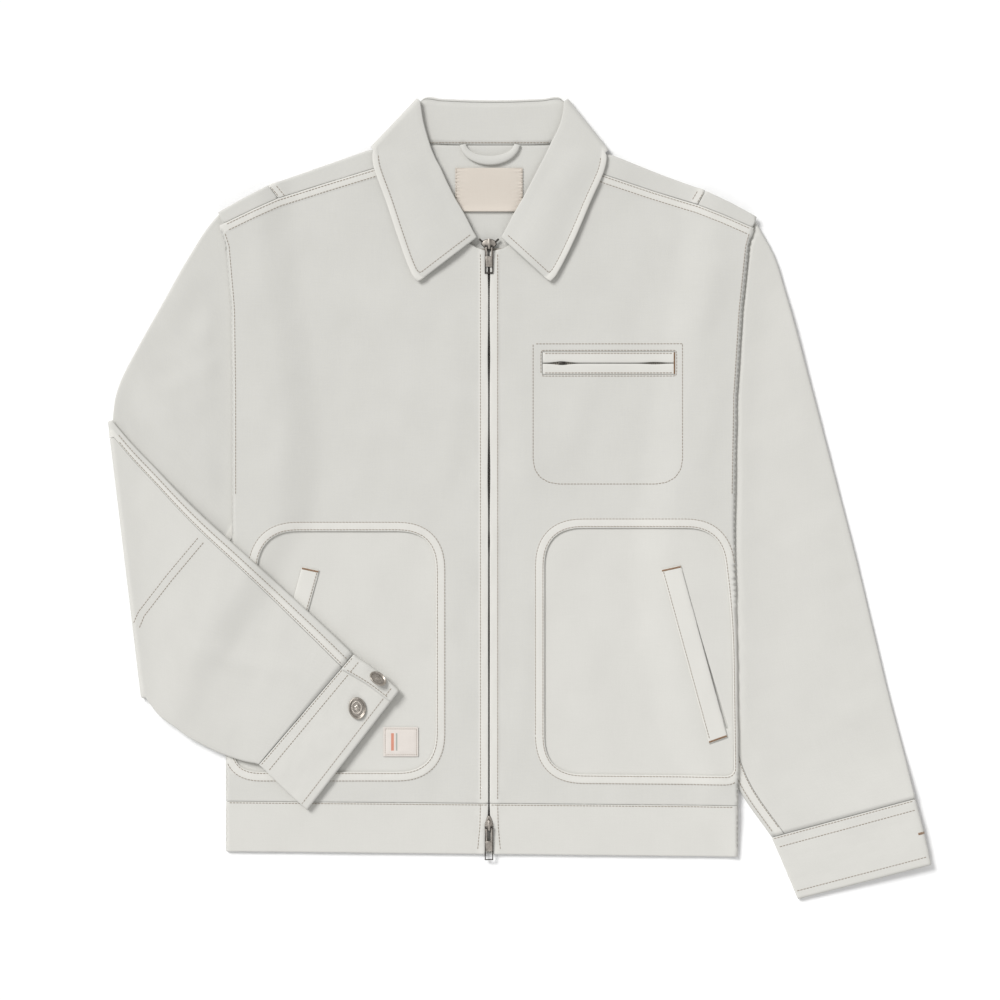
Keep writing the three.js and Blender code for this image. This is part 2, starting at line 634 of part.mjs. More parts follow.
const FOLD = Array.from({ length: FOLD_STEPS + 1 }, (_, k) => {
  const turn = (Math.PI * k) / FOLD_STEPS;
  const out = FOLD_HEIGHT * Math.sin(turn);
  const base = FOLD_HEIGHT * (1 - Math.cos(turn));
  return {
    outerX: ELBOW.outerX + elbowAway.x * out,
    outerY: ELBOW.outerY + elbowAway.y * out,
    innerX: ELBOW.innerX + elbowAway.x * out,
    innerY: ELBOW.innerY + elbowAway.y * out,
    baseFrom: base,
    baseTo: base,
    turn,
    fold: -1,
  };
});
const FOREARM_BASE = 2 * FOLD_HEIGHT;
const FOREARM = [
  { outerX: -329, outerY: 378, innerX: -303, innerY: 127 },
  { outerX: -306, outerY: 354, innerX: -288, innerY: 116 },
  { outerX: -286, outerY: 333, innerX: -276, innerY: 107 },
  { outerX: -270, outerY: 317, innerX: -265, innerY: 101 },
  { outerX: -255, outerY: 303, innerX: -255, innerY: 96 },
  { outerX: -238, outerY: 288, innerX: -246, innerY: 92 },
  { outerX: -219, outerY: 271, innerX: -238, innerY: 89 },
  { outerX: -196, outerY: 250, innerX: -229, innerY: 86 },
  { outerX: -172, outerY: 228, innerX: -221, innerY: 84 },
  { outerX: -148, outerY: 206, innerX: -215, innerY: 83 },
  { outerX: -124.5, outerY: 183.5, innerX: -211.5, innerY: 82 },
].map((ring) => ({ ...ring, baseFrom: FOREARM_BASE, baseTo: FOREARM_BASE, turn: Math.PI }));
const FOLDED_SLEEVE = [...UPPER_ARM, ...FOLD, ...FOREARM];

// The forearm climbs from the upper arm onto the body
function forearmRaise(x, y) {
  const onto = 1 - THREE.MathUtils.smoothstep(x, -284, -254);
  return (lift(x, y) + 0.5) * (1 - onto);
}
const foldedIndex = UPPER_ARM.length + FOLD.length;
function loftFolded(section) {
  const raised = FOLDED_SLEEVE.map((ring, index) => ({ ...ring, raised: index >= foldedIndex }));
  const geometry = loft(raised, section);
  const position = geometry.getAttribute('position');
  const columns = section(100).length;
  for (let i = 0; i < position.count; i += 1) {
    const ring = Math.floor((i % (raised.length * columns)) / columns);
    if (!raised[ring].raised) continue;
    const [x, y] = [position.getX(i), position.getY(i)];
    position.setZ(i, position.getZ(i) + forearmRaise(x, y));
  }
  return geometry;
}
add('top_sleeve_right', loftFolded(topSleeveSection), 'twill');
add('under_sleeve_right', loftFolded(underSleeveSection), 'twill');

// Cuffs: a band that runs round the wrist, its buttoned end lapping over its other end
const TAB = { start: 18, end: 13.5, lap: CLOTH + GAP };
const TAB_RADIUS = (SLEEVE_HEIGHT + TAB.lap) / 2;
function cuffSection(rings) {
  return (width, index) => {
    const tabWidth = THREE.MathUtils.lerp(TAB.start, TAB.end, index / (rings - 1));
    const tip = [];
    for (let k = 0; k <= EDGE_STEPS; k += 1) {
      const angle = (Math.PI * k) / EDGE_STEPS;
      const inward = TAB_RADIUS - CLOTH;
      const centre = SLEEVE_HEIGHT - TAB_RADIUS;
      tip.push({
        outer: [TAB_RADIUS * (1 - Math.sin(angle)), centre + TAB_RADIUS * Math.cos(angle)],
        inner: [TAB_RADIUS - inward * Math.sin(angle), centre + inward * Math.cos(angle)],
      });
    }
    return [
      ...face(TAB_RADIUS + 1, width - EDGE_RADIUS, false).slice(0, -1),
      ...tubeArc(width, true).reverse(),
      ...face(width - EDGE_RADIUS, TAB_RADIUS, true, 3).slice(1, -1),
      ...tip,
      { outer: [tabWidth, -TAB.lap], inner: [tabWidth, -TAB.lap + CLOTH] },
    ];
  };
}

const FOLDED_CUFF = [
  { outerX: -124.2, outerY: 183.2, innerX: -211.2, innerY: 81.7 },
  { outerX: -104, outerY: 169, innerX: -189, innerY: 60 },
  { outerX: -82, outerY: 150, innerX: -167, innerY: 40 },
].map((ring) => ({ ...ring, baseFrom: FOREARM_BASE, baseTo: FOREARM_BASE, turn: Math.PI }));
const STRAIGHT_CUFF = [
  { outerX: 391.7, outerY: 50.6, innerX: 259.8, innerY: 14.6 },
  { outerX: 400, outerY: 19, innerX: 273, innerY: -16 },
  { outerX: 406.5, outerY: -10, innerX: 284, innerY: -42 },
].map((ring) => ({
  ...ring, baseFrom: CUFF_LIFT, baseTo: 0, turn: 0,
}));
add('cuff_right', loft(FOLDED_CUFF, cuffSection(FOLDED_CUFF.length), forearmRaise), 'twill');
add('cuff_left', loft(STRAIGHT_CUFF, cuffSection(STRAIGHT_CUFF.length)), 'twill');

// Tack buttons: a turned disc with a raised rim; each cuff has two
const BUTTON = { radius: 8.5, height: 2.8, rim: 1.2, dish: 0.5 };
const buttonProfile = [
  [0, 0], [BUTTON.radius - 1, 0], [BUTTON.radius, 1], [BUTTON.radius, BUTTON.height - 0.6],
  [BUTTON.radius - 0.5, BUTTON.height], [BUTTON.radius - BUTTON.rim, BUTTON.height],
  [BUTTON.radius - BUTTON.rim - 0.6, BUTTON.height - BUTTON.dish], [0, BUTTON.height - BUTTON.dish],
].map(([x, y]) => new THREE.Vector2(x, y));
const foldedCuffTop = (x, y) => FOREARM_BASE + forearmRaise(x, y);
const BUTTONS = [
  { name: 'button_right_1', x: -103, y: 159, z: foldedCuffTop(-103, 159) + TAB.lap + GAP, up: 1 },
  { name: 'button_right_2', x: -121, y: 134, z: foldedCuffTop(-121, 134) + GAP, up: 1 },
  { name: 'button_left_1', x: 391, y: 15, z: BUTTON.height, up: -1 },
  { name: 'button_left_2', x: 362, y: 8, z: BUTTON.height, up: -1 },
];
for (const { name, x, y, z, up } of BUTTONS) {
  const geometry = new THREE.LatheGeometry(buttonProfile, 16);
  const button = add(name, geometry, 'nickel');
  button.rotation.x = (up * Math.PI) / 2;
  button.position.set(x, y, z);
}

// Collar: a stand and a fall. Rings run round the neck from one front edge to the other;
// each gives the roll line, the fall's edge, and how far the collar has turned to the back.
const COLLAR = { foldHeight: 4.5, lip: 5, standTop: 5.3 };
const COLLAR_RINGS = [
  { rollX: -11, rollY: 566, edgeX: -66, edgeY: 524, base: 6.6, drop: 1.0, turn: 0, stand: 18 },
  { rollX: -20, rollY: 583, edgeX: -73, edgeY: 537, base: 6.6, drop: 1.0, turn: 0, stand: 22 },
  { rollX: -32, rollY: 604, edgeX: -83, edgeY: 564, base: 7.0, drop: 1.0, turn: 0, stand: 26 },
  { rollX: -44, rollY: 629, edgeX: -95, edgeY: 600, base: 7.6, drop: 0.6, turn: 0, stand: 28 },
  { rollX: -54, rollY: 651, edgeX: -106, edgeY: 631, base: 7.8, drop: 0, turn: 0, stand: 30 },
  { rollX: -61, rollY: 677, edgeX: -107, edgeY: 643, base: 7.8, drop: 0, turn: 0, stand: 32 },
];
const COLLAR_BACK = [
  { rollX: -60, rollY: 694.2, edgeX: -92, edgeY: 643 },
  { rollX: -42, rollY: 693.6, edgeX: -58, edgeY: 639 },
  { rollX: -15, rollY: 692.6, edgeX: -20, edgeY: 638 },
];
const COLLAR_BACK_RIGHT = [
  { rollX: 22, rollY: 692.6, edgeX: 26, edgeY: 638 },
  { rollX: 48, rollY: 693.6, edgeX: 62, edgeY: 639 },
  { rollX: 66, rollY: 694.2, edgeX: 94, edgeY: 643 },
];
const COLLAR_RINGS_RIGHT = [
  { rollX: 67, rollY: 677, edgeX: 108, edgeY: 641, base: 7.8, drop: 0, turn: 0, stand: 32 },
  { rollX: 56, rollY: 651, edgeX: 106, edgeY: 628, base: 7.8, drop: 0, turn: 0, stand: 30 },
  { rollX: 45, rollY: 629, edgeX: 93, edgeY: 598, base: 7.6, drop: 0.6, turn: 0, stand: 28 },
  { rollX: 32, rollY: 604, edgeX: 78, edgeY: 563, base: 7.0, drop: 1.0, turn: 0, stand: 26 },
  { rollX: 20, rollY: 583, edgeX: 65, edgeY: 537, base: 6.6, drop: 1.0, turn: 0, stand: 22 },
  { rollX: 11, rollY: 566, edgeX: 57, edgeY: 524, base: 6.6, drop: 1.0, turn: 0, stand: 18 },
];
const COLLAR_FOLDS = {
  left: { rollX: -63, rollY: 691, edgeX: -104, edgeY: 648, outward: -1, stand: 34 },
  right: { rollX: 69, rollY: 691, edgeX: 105, edgeY: 646, outward: 1, stand: 34 },
};
const COLLAR_FOLD_STEPS = 6;
const NECK_RING = COLLAR_RINGS[COLLAR_RINGS.length - 1];

function collarFold(line) {
  const radius = NECK_RING.base - COLLAR.foldHeight;
  const across = new THREE.Vector2(line.edgeX - line.rollX, line.edgeY - line.rollY).normalize();
  const away = new THREE.Vector2(-across.y, across.x).multiplyScalar(line.outward);
  return Array.from({ length: COLLAR_FOLD_STEPS + 1 }, (_, k) => {
    const turn = (Math.PI * k) / COLLAR_FOLD_STEPS;
    const out = radius * Math.sin(turn);
    return {
      rollX: line.rollX + away.x * out,
      rollY: line.rollY + away.y * out,
      edgeX: line.edgeX + away.x * out,
      edgeY: line.edgeY + away.y * out,
      base: COLLAR.foldHeight + radius * Math.cos(turn),
      drop: 0,
      turn,
      fold: -line.outward,
      stand: line.stand,
    };
  });
}

const backRing = (ring) => ({
  ...ring, base: 2 * COLLAR.foldHeight - NECK_RING.base, drop: 0, turn: Math.PI,
  stand: ring.rollY - NECK_SEAM_Y - HALF_GAP,
});
const collarRings = [
  ...COLLAR_RINGS,
  ...collarFold(COLLAR_FOLDS.left),
  ...COLLAR_BACK.map(backRing),
  ...COLLAR_BACK_RIGHT.map(backRing),
  ...collarFold(COLLAR_FOLDS.right).reverse(),
  ...COLLAR_RINGS_RIGHT,
].map((ring) => ({
  outerX: ring.rollX, outerY: ring.rollY, innerX: ring.edgeX, innerY: ring.edgeY,
  baseFrom: ring.base, baseTo: ring.base - ring.drop, turn: ring.turn, fold: ring.fold,
  stand: ring.stand,
}));

// The fall: from a lip at the stand's level, round the roll line, and out to its edge
const ROLL_RADIUS = CLOTH + HALF_GAP;
function fallSection(width) {
  const middle = CLOTH - ROLL_RADIUS;
  const points = [{ outer: [COLLAR.lip, middle - ROLL_RADIUS], inner: [COLLAR.lip, middle - HALF_GAP] }];
  for (let k = 0; k <= EDGE_STEPS; k += 1) {
    const angle = (Math.PI * k) / EDGE_STEPS;
    const reach = Math.sin(angle);
    const rise = -Math.cos(angle);
    points.push({
      outer: [ROLL_RADIUS * (1 - reach), middle + rise * ROLL_RADIUS],
      inner: [ROLL_RADIUS - HALF_GAP * reach, middle + rise * HALF_GAP],
    });
  }
  for (const share of [0.5, 1]) {
    points.push({ outer: [width * share, CLOTH], inner: [width * share, 0] });
  }
  return points;
}
function standSection(width, index) {
  const top = CLOTH - 2 * ROLL_RADIUS;
  const end = collarRings[index].stand;
  return [COLLAR.standTop, (COLLAR.standTop + end) / 2, end].map((across) => ({
    outer: [across, top], inner: [across, top + CLOTH],
  }));
}
add('collar_fall', loft(collarRings, fallSection), 'twill');
add('collar_stand', loft(collarRings, standSection), 'twill');

// Main zip: a tape under each front edge
const TAPE = { inner: 1.2, outer: 15, bottom: 3, top: 556 };
for (const [name, side] of [['right', -1], ['left', 1]]) {
  add(`zip_tape_${name}`, toGeometry(cutFrom(pocketLayer, outline([
    [side * TAPE.inner, TAPE.bottom], [side * TAPE.outer, TAPE.bottom],
    [side * TAPE.outer, TAPE.top], [side * TAPE.inner, TAPE.top],
  ]))), 'tape');
}

// Zip sliders: a plate on the cloth with a keel down to the teeth and a lengthwise bridge
const SLIDER = { width: 9, length: 10.4, plate: 1.8, keel: 0.9, bridge: 2.2 };
const BRIDGE = { reach: 4.6, height: 3.8, leg: 1, inside: 2.8 };
const PULL = { width: 7.8, thickness: 1.4, length: 25, eye: 8.2, eyeHalf: 1.9, droop: 0.07 };
const PIVOT = { back: 2.3, height: 1.2 };
const PULL_WINDOW = { half: 1.9, start: 19, end: 23.4 };
const SLIDER_TOPS = {
  top: { x: 0, y: 560, z: BODY_HEIGHT + GAP },
  bottom: { x: 0, y: 26, z: BODY_HEIGHT + GAP },
};

function sliderSolid() {
  const plate = new THREE.ExtrudeGeometry(roundedRectangle({
    left: -SLIDER.width / 2, right: SLIDER.width / 2,
    bottom: -SLIDER.length / 2, top: SLIDER.length / 2, radius: 3,
  }), { depth: SLIDER.plate, bevelEnabled: false, curveSegments: 4 });
  const keel = new THREE.BoxGeometry(SLIDER.keel, SLIDER.length - 2, 1.6);
  keel.translate(0, 0, -0.4);
  const arch = new THREE.Shape();
  const { reach, height, leg, inside } = BRIDGE;
  arch.moveTo(-reach, -0.5);
  arch.lineTo(-reach, height - 1.5);
  arch.quadraticCurveTo(-reach, height, -reach + 1.5, height);
  arch.lineTo(reach - 1.5, height);
  arch.quadraticCurveTo(reach, height, reach, height - 1.5);
  arch.lineTo(reach, -0.5);
  arch.lineTo(reach - leg, -0.5);
  arch.lineTo(reach - leg, inside);
  arch.lineTo(-reach + leg, inside);
  arch.lineTo(-reach + leg, -0.5);
  const bridge = new THREE.ExtrudeGeometry(arch, {
    depth: SLIDER.bridge, bevelEnabled: false, curveSegments: 3,
  });
  bridge.translate(0, 0, -SLIDER.bridge / 2);
  bridge.rotateX(Math.PI / 2);
  bridge.rotateZ(Math.PI / 2);
  bridge.translate(0, 0, SLIDER.plate);
  return toSolid(plate).add(toSolid(keel)).add(toSolid(bridge));
}

// Pull tab: two arms beside the bridge, a round crossbar under it, and a plate with a window
function pullSolid() {
  const plate = new THREE.Shape();
  const half = PULL.width / 2;
  plate.moveTo(-half, 0);
  plate.lineTo(-half, -PULL.length + 1.5);
  plate.quadraticCurveTo(-half, -PULL.length, -half + 1.5, -PULL.length);
  plate.lineTo(half - 1.5, -PULL.length);
  plate.quadraticCurveTo(half, -PULL.length, half, -PULL.length + 1.5);
  plate.lineTo(half, 0);
  plate.holes.push(outline([
    [-PULL_WINDOW.half, -PULL_WINDOW.start], [-PULL_WINDOW.half, -PULL_WINDOW.end],
    [PULL_WINDOW.half, -PULL_WINDOW.end], [PULL_WINDOW.half, -PULL_WINDOW.start],
  ]));
  const body = new THREE.ExtrudeGeometry(plate, {
    depth: PULL.thickness, bevelEnabled: false, curveSegments: 4,
  });
  body.translate(0, 0, -PULL.thickness / 2);
  const eye = new THREE.BoxGeometry(2 * PULL.eyeHalf, PULL.eye + 2, 6);
  eye.translate(0, -PULL.eye / 2 + 1, 0);
  const bar = new THREE.CylinderGeometry(PULL.thickness / 2, PULL.thickness / 2, PULL.width - 0.1, 16);
  bar.rotateZ(Math.PI / 2);
  return toSolid(body).subtract(toSolid(eye)).add(toSolid(bar));
}

for (const [name, place] of Object.entries(SLIDER_TOPS)) {
  const slider = add(`zip_slider_${name}`, toGeometry(sliderSolid()), 'nickel');
  slider.position.set(place.x, place.y, place.z);
  const pull = add(`zip_pull_${name}`, toGeometry(pullSolid()), 'nickel');
  pull.rotation.x = PULL.droop;
  pull.position.set(place.x, place.y - PIVOT.back, place.z + SLIDER.plate + PIVOT.height);
}

export default jacket;
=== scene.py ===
import math

import bmesh
import bpy
import numpy as np
from mathutils import Matrix, Vector
from mathutils.bvhtree import BVHTree
from mathutils.geometry import delaunay_2d_cdt


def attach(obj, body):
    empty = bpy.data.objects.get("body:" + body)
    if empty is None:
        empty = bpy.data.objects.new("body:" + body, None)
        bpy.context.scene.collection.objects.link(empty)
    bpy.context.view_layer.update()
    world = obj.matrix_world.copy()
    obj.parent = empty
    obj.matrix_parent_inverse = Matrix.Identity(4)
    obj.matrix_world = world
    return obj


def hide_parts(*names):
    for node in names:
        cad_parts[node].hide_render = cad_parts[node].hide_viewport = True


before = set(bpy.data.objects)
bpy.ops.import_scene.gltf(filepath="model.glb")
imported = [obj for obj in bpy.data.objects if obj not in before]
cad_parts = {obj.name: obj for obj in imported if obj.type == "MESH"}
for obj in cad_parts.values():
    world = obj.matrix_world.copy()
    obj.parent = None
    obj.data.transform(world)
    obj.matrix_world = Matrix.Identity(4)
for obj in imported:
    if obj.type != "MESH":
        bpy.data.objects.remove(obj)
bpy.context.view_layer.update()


# Camera and light. The jacket is seen straight down through a long lens, under a soft sun from
# the upper left, a weaker round light opposite and the even light of a white studio.
PHOTO_SPAN = 0.92
PHOTO_CENTRE = (-0.0181, -0.0013)
CAMERA_HEIGHT = 4.0
SENSOR = 36
camera_data = bpy.data.cameras.new("camera")
camera_data.sensor_width = SENSOR
camera_data.lens = SENSOR * CAMERA_HEIGHT / PHOTO_SPAN
camera_data.clip_end = 20
camera = bpy.data.objects.new("camera", camera_data)
camera.location = (*PHOTO_CENTRE, CAMERA_HEIGHT)
bpy.context.collection.objects.link(camera)
bpy.context.scene.camera = camera


def add_lamp(name, kind, way, energy):
    """A lamp that shines along a way."""
    light = bpy.data.lights.new(name, kind)
    light.energy = energy
    lamp = bpy.data.objects.new(name, light)
    lamp.rotation_euler = Vector(way).to_track_quat("-Z", "Y").to_euler()
    bpy.context.collection.objects.link(lamp)
    return lamp


key = add_lamp("key_light", "SUN", (1.0, -0.95, -1.45), 2.3)
key.data.angle = math.radians(24)
fill = add_lamp("fill_light", "AREA", (-0.5, 2.4, -2.0), 13)
fill.data.shape = "DISK"
fill.data.size = 2.0
fill.location = (0.5, -2.4, 2.0)
world = bpy.data.worlds.new("studio")
world.use_nodes = True
studio_light = world.node_tree.nodes["Background"]
studio_light.inputs["Color"].default_value = (1, 1, 1, 1)
studio_light.inputs["Strength"].default_value = 0.47
bpy.context.scene.world = world
bpy.context.scene.view_settings.view_transform = "Standard"


# Twill cloth. Matte ecru cotton with a fine diagonal rib, thicker yarns here and there and a
# faint mottle. The "cloth" map holds each cut piece's own millimetres, so the rib follows it.
MM = 0.001


class Shade:
    """A socket of a material's tree, so that shader maths reads as an expression."""

    def __init__(self, tree, socket=None):
        self.tree = tree
        self.socket = socket

    def node(self, kind, settings=None, inputs=None, output=0):
        made = self.tree.nodes.new(kind)
        for name, value in (settings or {}).items():
            if name == "stops":
                for stop, (place, colour) in zip(made.color_ramp.elements, value):
                    stop.position = place
                    stop.color = colour
            else:
                setattr(made, name, value)
        for name, value in (inputs or {}).items():
            if isinstance(value, Shade):
                self.tree.links.new(value.socket, made.inputs[name])
            else:
                made.inputs[name].default_value = value
        return Shade(self.tree, made.outputs[output])

    def maths(self, operation, first, second):
        return self.node("ShaderNodeMath", {"operation": operation}, {0: first, 1: second})

    def __add__(self, other):
        return self.maths("ADD", self, other)

    __radd__ = __add__

    def __sub__(self, other):
        return self.maths("SUBTRACT", self, other)

    def __rsub__(self, other):
        return self.maths("SUBTRACT", other, self)

    def __mul__(self, other):
        return self.maths("MULTIPLY", self, other)

    __rmul__ = __mul__

    def __gt__(self, other):
        return self.maths("GREATER_THAN", self, other)

    def __lt__(self, other):
        return self.maths("LESS_THAN", self, other)

    def sine(self):
        return self.node("ShaderNodeMath", {"operation": "SINE"}, {0: self})

    def part(self, which):
        """One part of this vector: 0 is x and 1 is y."""
        return self.node("ShaderNodeSeparateXYZ", None, {0: self}, which)

    def bump(self, strength, depth):
        """A normal from this height; depth is in metres."""
        return self.node("ShaderNodeBump", None, {"Height": self, "Strength": strength, "Distance": depth})

    def mix(self, first, second):
        """The colour between first and second, by this value."""
        return self.node("ShaderNodeMix", {"data_type": "RGBA"}, {0: self, 6: first, 7: second}, 2)

    def noise(self, scale, detail=2.0, stretch=(1, 1, 1)):
        """Noise from this vector, centred on 0.5."""
        moved = self.node("ShaderNodeVectorMath", {"operation": "MULTIPLY"}, {0: self, 1: stretch})
        return self.node("ShaderNodeTexNoise", None, {"Vector": moved, "Scale": scale, "Detail": detail})


def new_material(name, roughness, metallic=0.0):
    made = bpy.data.materials.new(name)
    made.use_nodes = True
    shader = made.node_tree.nodes["Principled BSDF"]
    shader.inputs["Roughness"].default_value = roughness
    shader.inputs["Metallic"].default_value = metallic
    return made, shader, Shade(made.node_tree)


def plug_in(shader, name, value):
    value.tree.links.new(value.socket, shader.inputs[name])


def cloth_material(name, light, dark, painted_highlight=None, rib=0.75, rib_depth=0.06, mottle=0.5):
    """Woven cloth: light and dark are its yarn colours, painted_highlight a lighter colour mixed in as a
    painted highlight by the raised map's share, mostly where an allowance under the cloth holds it up, and
    rib its weave's pitch in millimetres."""
    made, shader, start = new_material(name, 0.88)
    shader.inputs["Sheen Weight"].default_value = 0.12
    shader.inputs["Sheen Roughness"].default_value = 0.5
    shader.inputs["Specular IOR Level"].default_value = 0.25
    place = start.node("ShaderNodeUVMap", {"uv_map": "cloth"})
    across, along = place.part(0), place.part(1)
    wander = place.noise(0.16, 2.0) * 2.4
    turn = 2 * math.pi / rib
    diagonal = (across * (turn * 0.8) + along * (turn * 0.6) + wander).sine()
    yarns = (along * (turn * 1.6)).sine() * (across * (turn * 0.7)).sine()
    slub = place.noise(1.0, 3.0, (0.06, 0.9, 1.0)) + place.noise(1.0, 3.0, (0.8, 0.05, 1.0)) - 1.0
    cloud = place.noise(0.022, 3.0)
    speck = place.noise(0.9, 2.0)
    height = diagonal * 0.5 + yarns * 0.25 + slub * 1.2 + speck * 0.8
    tone = (cloud - 0.5) * mottle + (speck - 0.5) * 0.45 + slub * 0.3 + diagonal * 0.05 + 0.35
    colour = tone.mix((*dark, 1), (*light, 1))
    if painted_highlight:
        # Painted highlight: the raised map's share mixes the cloth towards the lighter colour.
        raised = start.node("ShaderNodeUVMap", {"uv_map": "raised"})
        colour = raised.part(0).mix(colour, (*painted_highlight, 1))
    plug_in(shader, "Base Color", colour)
    plug_in(shader, "Roughness", cloud * 0.1 + 0.82)
    plug_in(shader, "Normal", height.bump(0.55, rib_depth * MM))
    return made


# The twill's third colour is a painted highlight on raised allowances, seam bands and welts, and faintly on
# whole lower pieces.
twill = cloth_material("ecru_twill", (0.698, 0.690, 0.653), (0.606, 0.598, 0.563),
                       painted_highlight=(0.785, 0.768, 0.720))


# Body. A centre back, two side backs and two fronts of heavy cotton twill, each cut flat and laid.
# The fronts turn under at the sides and the backs turn forward over the shoulders. Sizes are in
# millimetres from the zip line and the hem, and move to the frame's own origin in each mesh.
ORIGIN = np.array([28.2, 326.1, 0.0])
CLOTH = 1.2
GAP = 0.3
LAYER = {"back": 0.0, "pocket": 1.5, "front": 3.0}
SIDE_ROLL = 2.1
BODY_SIDES = {
    "y": [-10, 80, 300, 420, 500, 558, 590],
    "right": [-242, -242, -236, -236, -237, -242, -252],
    "left": [229, 229, 226, 228, 233, 239, 248],
}
SLEEVE_INNER = {
    "y": [-43, 15, 60, 101, 165, 232, 312, 398, 480, 524, 556],
    "right": [-330, -330, -330, -325, -300, -255, -209, -205, -216, -224, -230],
    "left": [284, 260, 228, 212, 193, 181, 186, 198, 211, 219, 226],
}
SLEEVE_LIFT = {"height": 4.7, "inset": 14, "ramp": 40}
COLLAR_LIFT = {"height": 1.5, "starts": 600, "whole": 630, "middle": 3, "flat": 112, "reach": 150}
SIDES = (("right", -1), ("left", 1))


def smoothstep(value, low, high):
    share = np.clip((value - low) / (high - low), 0, 1)
    return share * share * (3 - 2 * share)


def column(table, name, y):
    return np.interp(y, table["y"], table[name])


def lift(x, y):
    """How far the sleeves under its sides and the collar's back at its neck hold the body up."""
    right = column(SLEEVE_INNER, "right", y) + SLEEVE_LIFT["inset"] - x
    left = x - column(SLEEVE_INNER, "left", y) + SLEEVE_LIFT["inset"]
    sleeves = SLEEVE_LIFT["height"] * smoothstep(np.maximum(right, left), -SLEEVE_LIFT["ramp"], 0)
    aside = np.abs(x - COLLAR_LIFT["middle"])
    collar = COLLAR_LIFT["height"] * smoothstep(y, COLLAR_LIFT["starts"], COLLAR_LIFT["whole"])
    collar = collar * (1 - smoothstep(aside, COLLAR_LIFT["flat"], COLLAR_LIFT["reach"]))
    return np.maximum(sleeves, collar)


def creases(table, x, y):
    """Heights of a table of creases: start, end, half width, height and sideways bow."""
    total = np.zeros_like(x, dtype=float)
    for x0, y0, x1, y1, width, height, bow in table:
        run = np.array([x1 - x0, y1 - y0], float)
        length = np.linalg.norm(run)
        run /= length
        along = ((x - x0) * run[0] + (y - y0) * run[1]) / length
        side = (x - x0) * -run[1] + (y - y0) * run[0]
        inside = np.clip(along, 0, 1)
        taper = np.sin(math.pi * inside) ** 0.8
        total += height * taper * np.exp(-(((side - bow * np.sin(math.pi * inside)) / width) ** 2))
    return total


def ripple(x, y, wavelength, seed):
    """Uneven waves of about one wavelength, from -1 to 1."""
    draw = np.random.default_rng(seed)
    total = np.zeros_like(x, dtype=float)
    waves = zip(draw.uniform(0, math.pi, 9), draw.uniform(0, 6.3, 9), draw.uniform(0.7, 1.5, 9))
    for turn, phase, size in waves:
        run = x * math.cos(turn) + y * math.sin(turn)
        total += np.sin(run * 2 * math.pi / (wavelength * size) + phase)
    return total / 4.5


def resampled(points, step, closed=True):
    """Points no more than a step apart along a line."""
    points = np.asarray(points, float)
    ends = np.vstack([points, points[:1]]) if closed else points
    out = []
    for a, b in zip(ends[:-1], ends[1:]):
        count = max(1, math.ceil(np.linalg.norm(b - a) / step))
        out.extend(a + (b - a) * k / count for k in range(count))
    if not closed:
        out.append(ends[-1])
    return np.array(out)


def distance(points, line, closed=True):
    """How far each point is from a line."""
    a = np.asarray(line, float)
    b = np.roll(a, -1, axis=0) if closed else a[1:]
    a = a if closed else a[:-1]
    run = b - a
    length = np.maximum((run * run).sum(-1), 1e-9)
    best = np.full(len(points), 1e9)
    for start in range(0, len(points), 5000):
        part = points[start:start + 5000, None, :] - a[None]
        share = np.clip((part * run).sum(-1) / length, 0, 1)
        away = part - run * share[..., None]
        best[start:start + 5000] = np.sqrt((away * away).sum(-1)).min(1)
    return best


def inside(points, line):
    """Which points lie within a closed line."""
    a = np.asarray(line, float)
    b = np.roll(a, -1, axis=0)
    crossings = np.zeros(len(points), int)
    for (ax, ay), (bx, by) in zip(a, b):
        if ay == by:
            continue
        above = (points[:, 1] >= min(ay, by)) & (points[:, 1] < max(ay, by))
        cross = ax + (points[:, 1] - ay) * (bx - ax) / (by - ay)
        crossings += above & (points[:, 0] < cross)
    return crossings % 2 == 1


def doubled_areas(points, triangles):
    """Twice the area of each flat triangle, negative where it runs clockwise."""
    a, b, c = (points[triangles[:, k]] for k in range(3))
    return (b - a)[:, 0] * (c - a)[:, 1] - (b - a)[:, 1] * (c - a)[:, 0]


NARROWEST_CUT = 10.0
EDGE_SOFTNESS = 0.32  # how much of its thickness the cloth loses at a cut edge, on each side
EDGE_ROWS = (0.4, 1.1, 2.2, 3.6, 5.4, 7.6, 10.2)  # rows of points that follow each edge
DENSE_ROWS = 4  # the rows nearest the edge, which keep all their points


